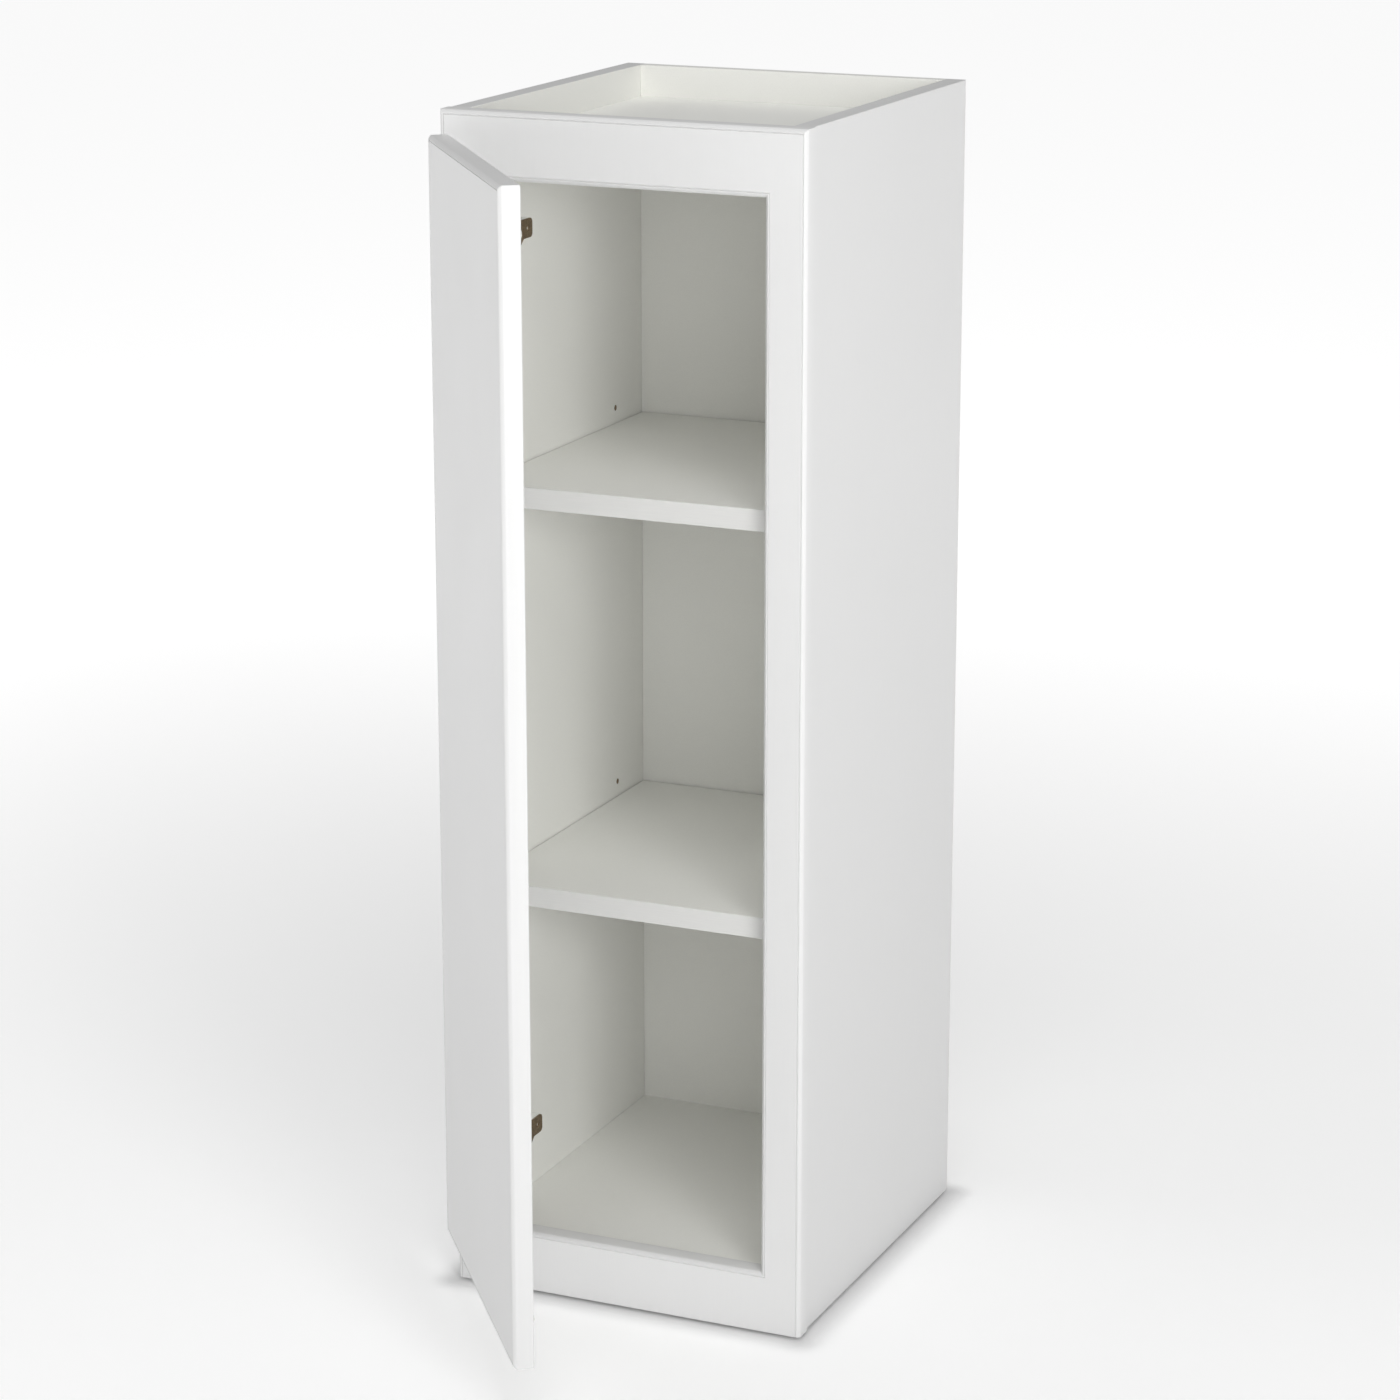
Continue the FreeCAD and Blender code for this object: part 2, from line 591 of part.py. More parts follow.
def frame_leaf_screw_spots():
    """Two screws in the stile's edge and one in the packing block, from the pin's axis."""
    in_stile = [("Sizes.pin_forward + Sizes.frame_thick / 2", rise)
                for rise in STILE_SCREW_RISES]
    in_block = [("Sizes.pin_forward + Sizes.block_screw_reach", "Sizes.tongue_offset")]
    return in_stile + in_block


def frame_leaf_screws():
    body = new_body("frame_leaf_screws", f"{PIN_X} + {FRAME_LEAF_X} + Sizes.frame_leaf_thick",
                    PIN_Y)
    spots = [(y, f"{hinge} + {z}")
             for hinge in HINGES.values() for y, z in frame_leaf_screw_spots()]
    screws(body, "YZ_Plane", "0", spots, HINGE_SCREW, backwards=True)


def door_leaf(name, hinge):
    """The hinge leaf on the back of the door."""
    body = new_body(f"door_leaf_{name}")
    hang_on_pin(body, hinge)
    plate = new_sketch(body, "XY_Plane", f"-{BARREL_HALF}")
    rectangle(plate, "0", DOOR_BACK, "Sizes.door_leaf_width", DOOR_LEAF_FACE)
    pad(body, plate, BARREL)
    knuckles(body, FRAME_KNUCKLES, "(Sizes.pin_radius + Sizes.pin_clearance)")
    screw_holes(body, "XZ_Plane", f"-{DOOR_LEAF_FACE}", DOOR_LEAF_SCREWS, HINGE_SCREW,
                forwards=True)


def door_leaf_screws():
    body = new_body("door_leaf_screws")
    hang_on_pin(body)
    spots = [(x, f"{hinge} + {z}") for hinge in HINGES.values() for x, z in DOOR_LEAF_SCREWS]
    screws(body, "XZ_Plane", f"-{DOOR_LEAF_FACE}", spots, HINGE_SCREW)


def hinge_pin(name, hinge):
    """A pin with a small round head at each end of the barrel."""
    body = new_body(f"hinge_pin_{name}", PIN_X, PIN_Y, hinge)
    shank = new_sketch(body, "XY_Plane", f"-{BARREL_HALF}")
    circles(shank, [("0", "0")], "Sizes.pin_radius")
    pad(body, shank, BARREL)
    for offset, downwards in ((BARREL_HALF, False), (f"-{BARREL_HALF}", True)):
        head = new_sketch(body, "XY_Plane", offset)
        circles(head, [("0", "0")], "Sizes.pin_radius * Sizes.pin_head_share")
        pad(body, head, "Sizes.pin_radius", backwards=downwards)


def door_panel():
    """One plain slab, eased round its outer face."""
    body = new_body("door_panel")
    hang_on_pin(body)
    sketch = new_sketch(body, "XZ_Plane", f"-{DOOR_BACK}")
    rectangle(sketch, DOOR_EDGE, "Sizes.door_bottom", f"{DOOR_EDGE} + Sizes.door_width",
              "Sizes.door_bottom + Sizes.door_height")
    pad(body, sketch, "Sizes.door_thick")
    spots = [(x, f"{hinge} + {z}") for hinge in HINGES.values() for x, z in DOOR_LEAF_SCREWS]
    drill(body, "XZ_Plane", f"-{DOOR_BACK}", spots, "Sizes.screw_radius",
          "(Sizes.screw_length - Sizes.door_leaf_thick)", forwards=True)
    face = min(vertex.Y for vertex in body.Tip.Shape.Vertexes)

    def outer_face(edge):
        return near(edge.CenterOfMass.y, face)

    round_edges(body, "Sizes.edge_round", outer_face)


def door_bumpers():
    """Two soft pads on the door's back, which meet the right stile."""
    body = new_body("door_bumpers")
    hang_on_pin(body)
    sketch = new_sketch(body, "XZ_Plane", f"-{DOOR_BACK}")
    across = f"{DOOR_EDGE} + Sizes.door_width - Sizes.bumper_inset"
    heights = ["Sizes.door_bottom + Sizes.bumper_rise",
               "Sizes.door_bottom + Sizes.door_height - Sizes.bumper_rise"]
    circles(sketch, [(across, height) for height in heights], "Sizes.bumper_radius")
    pad(body, sketch, "Sizes.bumper_thick", backwards=True)


def carcass():
    side_panel("side_panel_left", left=True)
    side_panel("side_panel_right", left=False)
    deck("top_panel", TOP_PANEL_BASE)
    deck("bottom_panel", BOTTOM_PANEL_BASE)
    back_panel()
    carcass_dowels()
    back_screws()


def face_frame():
    stile("stile_left", left=True)
    stile("stile_right", left=False)
    for name in RAILS:
        rail(name)
    rail_dowels()
    frame_dowels()


def shelves():
    for name, top in SHELVES.items():
        shelf(name, top)
        shelf_pins(name, top)


def hinges():
    for name, hinge in HINGES.items():
        hinge_block(name, hinge)
        frame_leaf(name, hinge)
        hinge_pin(name, hinge)
        door_leaf(name, hinge)
    frame_leaf_screws()
    door_leaf_screws()


def door():
    door_panel()
    door_bumpers()


def check_and_write():
    """Stop on any failed object or bad shape, then write one STEP file for each sub-part."""
    doc.recompute()
    for obj in doc.Objects:
        if "Invalid" in obj.State or "Error" in obj.State:
            raise RuntimeError(f"{obj.Name} did not recompute")
    for node in nodes:
        if node.Shape.isNull() or not node.Shape.isValid():
            raise RuntimeError(f"{node.Label} has a bad shape")
    os.makedirs("parts", exist_ok=True)
    for node in nodes:
        node.Shape.exportStep(f"parts/{node.Label}.step")
        print(node.Label, len(node.Shape.Solids), round(node.Shape.Volume))


carcass()
face_frame()
shelves()
hinges()
door()
check_and_write()
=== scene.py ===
"""Finish of a tall face-frame cabinet: painted woodwork, laminated inside, hinges and fittings.

Metres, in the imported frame: X from left to right, Y from front to back, Z up. Each operator
builds one group of pieces as surfaces worked out with numpy and lets them ride on their bodies.
"""

import json
import math

import bmesh
import bpy
import numpy as np
from bpy.props import FloatProperty, FloatVectorProperty, IntProperty, PointerProperty
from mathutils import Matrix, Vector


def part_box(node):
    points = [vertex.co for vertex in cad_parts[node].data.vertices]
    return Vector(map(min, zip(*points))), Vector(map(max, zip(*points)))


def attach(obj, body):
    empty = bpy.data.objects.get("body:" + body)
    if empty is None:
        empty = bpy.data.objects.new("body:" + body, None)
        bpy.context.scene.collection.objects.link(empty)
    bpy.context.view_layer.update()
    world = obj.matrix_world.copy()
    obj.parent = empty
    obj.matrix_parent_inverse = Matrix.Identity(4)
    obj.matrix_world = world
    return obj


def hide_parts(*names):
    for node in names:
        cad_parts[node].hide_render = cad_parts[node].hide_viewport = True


bl_info = {
    "name": "Face-frame cabinet finish",
    "version": (1, 0, 0),
    "blender": (4, 5, 0),
    "location": "3D View > Sidebar > Cabinet",
    "description": "Builds the woodwork, hinges and fittings of a tall face-frame cabinet",
    "category": "Object",
}

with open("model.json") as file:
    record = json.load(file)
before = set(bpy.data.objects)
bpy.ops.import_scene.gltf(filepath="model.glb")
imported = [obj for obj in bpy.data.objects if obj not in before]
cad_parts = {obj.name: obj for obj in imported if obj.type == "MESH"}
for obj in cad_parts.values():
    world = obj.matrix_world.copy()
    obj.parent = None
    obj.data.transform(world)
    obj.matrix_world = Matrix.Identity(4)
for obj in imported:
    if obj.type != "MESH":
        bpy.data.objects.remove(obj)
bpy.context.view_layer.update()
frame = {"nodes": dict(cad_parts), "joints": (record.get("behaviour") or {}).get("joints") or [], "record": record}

HINGES = ("lower", "upper")
SHELVES = ("lower", "upper")
DOOR_JOINT = frame["joints"][0]
PIN = np.array(DOOR_JOINT["pos_m"])
OPEN_ANGLE = math.radians(-DOOR_JOINT["range_deg"][0])

# Faces that meet at more than SHARP_ANGLE keep a crisp edge, and a bevel rounds those that meet
# at more than BEVEL_ANGLE. Nearly flat edges of a copied CAD shape are dissolved.
SHARP_ANGLE = math.radians(32)
BEVEL_ANGLE = math.radians(40)
FLAT_ANGLE = math.radians(0.6)
WELD_DISTANCE = 2e-6

# Longest face of a moulded board, and half a hole's square cell over the hole's radius.
LONGEST_FACE = 0.05
CELL_SHARE = 1.8

# A hinge pin's head over its shank, in radius. A head is as high as the shank's radius.
PIN_HEAD_SHARE = 1.7

# The cross recess of a screw: its depth, half a bar's width, half its length and the width of
# its slope, over the head's radius. Then the radii at which the head's top is drawn, its rim,
# and the point's radius over the shank's.
CROSS_DEPTH = 0.42
CROSS_BAR = 0.13
CROSS_REACH = 0.62
CROSS_SLOPE = 0.14
HEAD_RINGS = np.append(np.linspace(0.1, 0.7, 9), (0.86, 1.0))
HEAD_RIM = 0.05
POINT_SHARE = 0.15

# Screws of one hinge: rises from the barrel's middle, and reaches along the leaf.
STILE_SCREW_RISES = (0.013, -0.013)
BLOCK_SCREW = (0.045, 0.005)
DOOR_LEAF_SCREWS = ((0.012, 0.014), (0.012, -0.014), (0.023, 0.0))

# Places of the back panel's screws as shares of its width, and the turn from screw to screw.
BACK_SCREW_SHARES = (0.13, 0.5, 0.87)
SPIN_STEP = 1.1

# A soft pad's upright rim over its thickness, and its base's chamfer over its radius.
PAD_RIM = 0.25
PAD_CHAMFER = 0.03

# The floor's radius, the distances over which its glow changes, and the width of the painted shadow.
FLOOR_RADIUS = 20.0
GLOW_REACH = (0.2, 2.9)
SHADOW_REACH = 0.03

LIGHTS = ("key", "fill", "top", "left", "over")
CAMERA_SENSOR = 36


# ---------------------------------------------------------------- sizes and colours


def length(name, description, metres, least):
    """A setting for a length."""
    return FloatProperty(name=name, description=description, default=metres, min=least,
                         unit="LENGTH")


def tint(name, description, colour):
    """A setting for a finish's colour."""
    return FloatVectorProperty(name=name, description=description, default=colour, size=3,
                               min=0, max=1, subtype="COLOR")


class WoodworkSizes(bpy.types.PropertyGroup):
    """Sizes of the edges that the woodworker's cutters leave."""

    edge_round: length(
        "Edge slope", "Soft slope on the edges of the frame and the door", 0.0031, 0.0005)
    edge_softness: FloatProperty(
        name="Edge softness", description="Shape of the slope: 1 is a chamfer, 2 a quarter round",
        default=1.3, min=1.0, max=2.0)
    quirk_inset: length(
        "Quirk inset", "Middle of the fine groove from the edge it follows", 0.0040, 0.003)
    quirk_width: length(
        "Quirk width", "Width of the fine groove beside the sloped edges", 0.0013, 0.0002)
    quirk_depth: length("Quirk depth", "Depth of the fine groove", 0.0010, 0.0002)
    back_arris: length(
        "Back arris", "Small chamfer on the back edges of the frame and the door", 0.0008, 0.0001)
    board_arris: length(
        "Board arris", "Softened edge of a board, which leaves a fine joint line", 0.00045, 0.0001)
    band_arris: length("Band arris", "Trimmed edge of a shelf's edge band", 0.0007, 0.0001)
    hole_radius: length("Pin hole", "Radius of a shelf-pin hole", 0.0025, 0.001)
    hole_depth: length("Pin hole depth", "Depth of a shelf-pin hole", 0.010, 0.001)


class HardwareSizes(bpy.types.PropertyGroup):
    """Sizes of the hinges' and the fittings' small shapes."""

    leaf_arris: length(
        "Leaf arris", "Rolled edge of the stamped hinge leaves", 0.00028, 0.00005)
    screw_head: length("Hinge screw head", "Radius of a hinge screw's head", 0.0025, 0.001)
    screw_shank: length("Hinge screw shank", "Radius of a hinge screw's shank", 0.0015, 0.0005)
    screw_length: length("Hinge screw length", "Whole length of a hinge screw", 0.014, 0.004)
    back_screw_head: length(
        "Back screw head", "Radius of a back panel screw's head", 0.00375, 0.001)
    back_screw_shank: length(
        "Back screw shank", "Radius of a back panel screw's shank", 0.00175, 0.0005)
    back_screw_length: length(
        "Back screw length", "Whole length of a back panel screw", 0.030, 0.004)
    segments: IntProperty(
        name="Round segments", description="Sides of a turned piece",
        default=40, min=12, max=96)


class FinishColours(bpy.types.PropertyGroup):
    """Colours of the finishes."""

    paint: tint(
        "Paint", "Satin paint of the frame, the door and the outer sides", (0.755, 0.755, 0.752))
    laminate: tint("Laminate", "Boards inside the cabinet", (0.92, 0.92, 0.883))
    band: tint("Edge band", "Front edges of the shelves", (0.735, 0.735, 0.718))
    core: tint(
        "Board core", "Bare board inside drilled holes and at the feet", (0.30, 0.22, 0.14))
    bronze: tint("Bronze", "Hinge leaves and pins", (0.32, 0.235, 0.15))
    zinc: tint("Zinc", "Screws", (0.62, 0.63, 0.65))
    nickel: tint("Nickel", "Shelf pins", (0.66, 0.62, 0.56))
    beech: tint("Beech", "Dowels", (0.62, 0.42, 0.26))
    pad: tint("Pad", "Soft pads behind the door", (0.78, 0.78, 0.74))
    floor: tint("Floor", "Studio floor", (0.90, 0.90, 0.90))


class StudioSettings(bpy.types.PropertyGroup):
    """Camera, even light and the floor's glow."""

    azimuth: FloatProperty(
        name="Azimuth", description="Camera's angle from straight ahead towards the right",
        default=math.radians(23.82), subtype="ANGLE")
    elevation: FloatProperty(
        name="Elevation", description="Camera's angle above the horizon",
        default=math.radians(15.38), subtype="ANGLE")
    distance: length("Distance", "Camera to its target", 3.687, 0.5)
    target_offset: FloatVectorProperty(
        name="Target", description="Camera's target from the middle of the cabinet's body",
        size=3, default=(-0.0105, 0.0, -0.0157), subtype="TRANSLATION", unit="LENGTH")
    lens: FloatProperty(
        name="Focal length", description="Camera's lens, in millimetres",
        default=104.34, min=10)
    room_light: FloatProperty(
        name="Room light", description="Even white light from all round",
        default=0.27, min=0)
    near_glow: FloatProperty(
        name="Near glow", description="Light given off by the floor under the cabinet",
        default=0.28, min=0)
    far_glow: FloatProperty(
        name="Far glow", description="Light given off by the floor far from the cabinet",
        default=0.70, min=0)
    floor_drop: length(
        "Floor drop", "Floor below the cabinet's feet, which leaves a thin shadow", 0.0035, 0)


def light_power(light, watts):
    """A setting for a light's power."""
    return FloatProperty(name=f"{light}'s power", description="Power of the square light",
                         default=watts, min=0, unit="POWER")


def light_offset(light, offset):
    """A setting for a light's place."""
    return FloatVectorProperty(name=f"{light}'s place", size=3, default=offset,
                               description="From the middle of the cabinet's body",
                               subtype="TRANSLATION", unit="LENGTH")


def light_side(light, side):
    """A setting for a light's size."""
    return FloatProperty(name=f"{light}'s size", description="Side of the square light",
                         default=side, min=0.1, unit="LENGTH")


class StudioLights(bpy.types.PropertyGroup):
    """Square soft lights that face the middle of the cabinet."""

    key_power: light_power("Key light", 38.0)
    key_offset: light_offset("Key light", (2.9, -2.9, 0.9))
    key_side: light_side("Key light", 1.1)
    fill_power: light_power("Fill light", 37.0)
    fill_offset: light_offset("Fill light", (2.4, -3.5, 1.05))
    fill_side: light_side("Fill light", 2.2)
    top_power: light_power("Top light", 33.0)
    top_offset: light_offset("Top light", (0.9, -2.0, 3.15))
    top_side: light_side("Top light", 2.1)
    left_power: light_power("Left light", 27.0)
    left_offset: light_offset("Left light", (-3.8, -1.3, 0.9))
    left_side: light_side("Left light", 2.0)
    over_power: light_power("Overhead light", 14.0)
    over_offset: light_offset("Overhead light", (-0.2, 0.5, 3.4))
    over_side: light_side("Overhead light", 2.0)


SETTING_GROUPS = {
    "cabinet_woodwork": WoodworkSizes,
    "cabinet_hardware": HardwareSizes,
    "cabinet_colours": FinishColours,
    "cabinet_studio": StudioSettings,
    "cabinet_lights": StudioLights,
}


# ---------------------------------------------------------------- places from the frame


def corners(node):
    """Lowest and highest corner of a CAD node as two arrays."""
    low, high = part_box(node)
    return np.array(low), np.array(high)


def upright_turn(angle):
    """The matrix of a turn about the Z axis."""
    cosine, sine = math.cos(angle), math.sin(angle)
    return np.array([[cosine, -sine, 0], [sine, cosine, 0], [0, 0, 1]])


def turn_about_pin(points, angle):
    """Points turned about the hinge pin's upright axis: x and y from the axis are multiplied
    by the matrix of the turn, and z stays."""
    axis = np.array([PIN[0], PIN[1], 0])
    return (points - axis) @ upright_turn(angle).T + axis


def on_open_door(turn, spot):
    """A place on the closed door, a matrix and an offset, carried to where the door rests."""
    return upright_turn(-OPEN_ANGLE) @ turn, turn_about_pin(spot, -OPEN_ANGLE)


def closed_door_box(node):
    """Lowest and highest corner of a door node, turned back to where the door is closed."""
    mesh = frame["nodes"][node].data
    points = np.empty(len(mesh.vertices) * 3)
    mesh.vertices.foreach_get("co", points)
    closed = turn_about_pin(points.reshape(-1, 3), OPEN_ANGLE)
    return closed.min(axis=0), closed.max(axis=0)


def hinge_middle(name):
    """Height of the middle of a hinge's barrel."""
    low, high = corners(f"frame_leaf_{name}")
    return (low[2] + high[2]) / 2


# ---------------------------------------------------------------- meshes


def grid_quads(index):
    """Quads between neighbouring points of a grid, given the grid of their numbers."""
    quads = np.stack([index[:-1, :-1], index[1:, :-1], index[1:, 1:], index[:-1, 1:]], axis=-1)
    return quads.reshape(-1, 4)


def rim_of(index):
    """Numbers round the edge of a grid of point numbers, once round."""
    return np.concatenate([index[:, 0], index[-1, 1:], index[-2::-1, -1], index[0, -2:0:-1]])


def band_quads(first, second):
    """Quads between two closed rings of point numbers."""
    return np.stack([first, second, np.roll(second, -1), np.roll(first, -1)], axis=-1)


def show(name, mesh):
    """An object at the origin with this mesh, smooth apart from its sharp edges."""
    mesh.shade_smooth()
    mesh.set_sharp_from_angle(angle=SHARP_ANGLE)
    mesh.update()
    piece = bpy.data.objects.new(name, mesh)
    bpy.context.scene.collection.objects.link(piece)
    return piece


def add_piece(name, points, faces, materials, kinds=None):
    """A new piece. The kinds are the number of each face's material."""
    mesh = bpy.data.meshes.new(name)
    mesh.from_pydata(np.asarray(points).reshape(-1, 3).tolist(), [], faces)
    for material in materials:
        mesh.materials.append(material)
    if kinds is not None:
        mesh.polygons.foreach_set("material_index", np.asarray(kinds, np.int32))
    return show(name, mesh)


def soft_copy(node, name, material, arris):
    """The CAD node's own shape as a new merged mesh with softened edges."""
    mesh = bpy.data.meshes.new(name)
    shape = bmesh.new()
    shape.from_mesh(frame["nodes"][node].data)
    bmesh.ops.remove_doubles(shape, verts=shape.verts, dist=WELD_DISTANCE)
    bmesh.ops.dissolve_limit(shape, angle_limit=FLAT_ANGLE, verts=shape.verts, edges=shape.edges)
    shape.to_mesh(mesh)
    shape.free()
    mesh.materials.clear()
    mesh.materials.append(material)
    piece = show(name, mesh)
    soften(piece, arris)
    return piece


def soften(piece, width):
    """A rounded bevel of this width on every edge sharper than BEVEL_ANGLE."""
    bevel = piece.modifiers.new("arris", "BEVEL")
    bevel.width = width
    bevel.segments = 2
    bevel.limit_method = "ANGLE"
    bevel.angle_limit = BEVEL_ANGLE


def settle(piece, body, slot, *nodes):
    """Hide the CAD nodes that the piece stands for and let it ride on its body. The slot is not used."""
    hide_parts(*nodes)
    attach(piece, body)


def copies(points, faces, places):
    """One shape repeated at places, which are pairs of a 3 by 3 matrix and an offset."""
    moved = np.concatenate([points @ np.array(turn).T + np.array(offset)
                            for turn, offset in places])
    numbered = [[corner + len(points) * number for corner in face]
                for number in range(len(places)) for face in faces]
    return moved, numbered


def wrapped(rings, start, end=None):
    """Rings of points joined into a surface that closes round, with a pole point that closes
    the first ring and another that closes the last. It faces out where each ring runs
    anticlockwise, seen from the first pole."""
    count, segments = rings.shape[:2]
    poles = [start] if end is None else [start, end]
    points = np.concatenate([rings.reshape(-1, 3), poles])
    numbers = np.arange(count * segments).reshape(count, segments)
    around = np.concatenate([numbers, numbers[:, :1]], axis=1)
    first, last = numbers.size, numbers.size + 1
    faces = grid_quads(around).tolist()
    faces += [[first, a, b] for a, b in zip(around[0], around[0][1:])]
    if end is not None:
        faces += [[last, b, a] for a, b in zip(around[-1], around[-1][1:])]
    return points, faces


def turned(profile, segments):
    """A turned shape: a point (r, h) of the profile goes round the Z axis to
    (r cos a, r sin a, h). The profile starts on the axis at the top and ends on it below."""
    radii, heights = np.array(profile[1:-1]).T
    angles = np.arange(segments) * math.tau / segments
    rings = np.stack([np.outer(radii, np.cos(angles)), np.outer(radii, np.sin(angles)),
                      np.repeat(heights[:, None], segments, axis=1)], axis=-1)
    return wrapped(rings, [0, 0, profile[0][1]], [0, 0, profile[-1][1]])


def rounding(reach, count=8):
    """Distances from an edge at which its slope is drawn: (r / 2) (1 - cos t), t to 180 deg."""
    return reach / 2 * (1 - np.cos(np.linspace(0, math.pi, count + 1)))


def edge_stations(sizes):
    """Distances from an edge where the edge moulding changes: the slope, then the two lips and
    the narrow bottom of the quirk."""
    half = sizes.quirk_width / 2
    quirk = sizes.quirk_inset + np.array([-half, -0.15 * half, 0.15 * half, half])
    return np.concatenate([rounding(sizes.edge_round), quirk])


def edge_depth(distance, sizes):
    """Depth of the moulding at a distance d from the edge. Within the reach r of the slope it
    is r (1 - (1 - u^n)^(1/n)), where u = 1 - d / r and n is the softness. Round the quirk's
    middle q it adds a groove that falls in a straight line from both lips to its bottom."""
    reach, softness = sizes.edge_round, sizes.edge_softness
    inside = np.clip(1 - distance / reach, 0, 1)
    sloped = reach * (1 - (1 - inside ** softness) ** (1 / softness))
    half = sizes.quirk_width / 2
    groove = (half - np.abs(distance - sizes.quirk_inset)) / (0.85 * half)
    return sloped + sizes.quirk_depth * np.clip(groove, 0, 1)


def stations(low, high, details):
    """Sorted values from low to high that hold the details in between, with no gap over
    LONGEST_FACE."""
    inner = [value for value in details if low < value < high]
    held = np.unique(np.round(np.concatenate([[low, high], inner]), 7))
    parts = [np.linspace(a, b, max(1, math.ceil((b - a) / LONGEST_FACE)) + 1)[:-1]
             for a, b in zip(held, held[1:])]
    return np.concatenate([*parts, [high]])


def faced_board(columns, rows, depth, front, back, arris):
    """A board whose front, towards -Y, is the surface y = front + depth(x, z) on the grid of
    columns and rows. A wall runs from its rim to the back, where an arris leads to the flat
    back face."""
    x, z = np.meshgrid(columns, rows, indexing="ij")
    face = np.stack([x, front + depth(x, z), z], axis=-1)
    wall = np.stack([x, np.full_like(x, back - arris), z], axis=-1)
    flat = np.stack([np.clip(x, columns[0] + arris, columns[-1] - arris),
                     np.full_like(x, back),
                     np.clip(z, rows[0] + arris, rows[-1] - arris)], axis=-1)
    numbers = np.arange(x.size).reshape(x.shape)
    rim = rim_of(numbers)
    wall_ring = np.arange(len(rim)) + x.size
    flat_numbers = numbers + x.size + len(rim)
    points = np.concatenate([face.reshape(-1, 3), wall.reshape(-1, 3)[rim],
                             flat.reshape(-1, 3)])
    faces = np.concatenate([grid_quads(numbers), band_quads(rim, wall_ring),
                            band_quads(wall_ring, rim_of(flat_numbers)),
                            grid_quads(flat_numbers)[:, ::-1]])
    return points, faces.tolist()


def drilled_board(size, thickness, holes, radius, depth, segments=32):
    """A board in local u, w, v: its face w = 0 looks towards -w and has blind round holes.
    The face is a grid with one square cell round each hole. Such a cell is a ring from the
    circle u = r cos a, v = r sin a out to the square, in four parts. Returns the points, the
    faces and 1 for each face inside a hole."""
    half_cell = CELL_SHARE * radius
    us = np.unique(np.concatenate([[0, size[0]], *[[u - half_cell, u + half_cell]
                                                   for u, _ in holes]]).round(6))
    vs = np.unique(np.concatenate([[0, size[1]], *[[v - half_cell, v + half_cell]
                                                   for _, v in holes]]).round(6))
    u, v = np.meshgrid(us, vs, indexing="ij")
    numbers = np.arange(u.size).reshape(u.shape)
    front = np.stack([u, np.zeros_like(u), v], axis=-1).reshape(-1, 3)
    back = front + [0, thickness, 0]
    points = [front, back]
    cells = np.ones((len(us) - 1, len(vs) - 1), bool)
    angles = np.arange(segments) * math.tau / segments
    circle = radius * np.stack([np.cos(angles), 0 * angles, np.sin(angles)], axis=-1)
    quarter = np.arange(segments // 4 + 1)
    first = 2 * u.size
    rings, inside = [], []
    for hole_u, hole_v in holes:
        i = np.searchsorted(us, hole_u) - 1
        j = np.searchsorted(vs, hole_v) - 1
        cells[i, j] = False
        mouth = circle + [hole_u, 0, hole_v]
        points += [mouth, mouth + [0, depth, 0]]
        mouth_ring = first + np.arange(segments)
        floor_ring = mouth_ring + segments
        square = [numbers[i + 1, j], numbers[i + 1, j + 1], numbers[i, j + 1], numbers[i, j]]
        for side in range(4):
            arc = mouth_ring[(quarter + segments // 8 * (2 * side - 1)) % segments]
            rings.append([square[side], square[(side + 1) % 4], *arc[::-1]])
        inside += band_quads(floor_ring, mouth_ring).tolist()
        inside.append(floor_ring.tolist())
        first += 2 * segments
    kept = grid_quads(numbers)[cells.ravel()]
    back_numbers = numbers + u.size
    faces = [*kept.tolist(), *rings, *band_quads(rim_of(numbers), rim_of(back_numbers)).tolist(),
             *grid_quads(back_numbers)[:, ::-1].tolist(), *inside]
    kinds = np.zeros(len(faces), np.int32)
    kinds[len(faces) - len(inside):] = 1
    return np.concatenate(points), faces, kinds


def plain_board(name, node, materials, arris, across, holes=(), hole_size=(0, 0)):
    """A board with the box of its CAD node and softened edges. Its local face looks across it:
    "z" is down, "y" forwards, and "+x" and "-x" are sideways. Each hole is a pair (y, z), and
    their size is a radius and a depth."""
    low, high = corners(node)
    size = high - low
    frames = {
        "y": ([[1, 0, 0], [0, 1, 0], [0, 0, 1]], low, (size[0], size[2]), size[1]),
        "z": ([[1, 0, 0], [0, 0, -1], [0, 1, 0]],
              [low[0], high[1], low[2]], (size[0], size[1]), size[2]),
        "-x": ([[0, 1, 0], [-1, 0, 0], [0, 0, 1]],
               [low[0], high[1], low[2]], (size[1], size[2]), size[0]),
        "+x": ([[0, -1, 0], [1, 0, 0], [0, 0, 1]],
               [high[0], low[1], low[2]], (size[1], size[2]), size[0]),
    }
    turn, corner, face_size, thickness = frames[across]
    local = [((high[1] - y) if across == "-x" else (y - low[1]), z - low[2]) for y, z in holes]
    points, faces, kinds = drilled_board(face_size, thickness, local, *hole_size)
    points = points @ np.array(turn, float).T + np.array(corner, float)
    piece = add_piece(name, points, faces, materials, kinds)
    soften(piece, arris)
    return piece


# ---------------------------------------------------------------- finishes


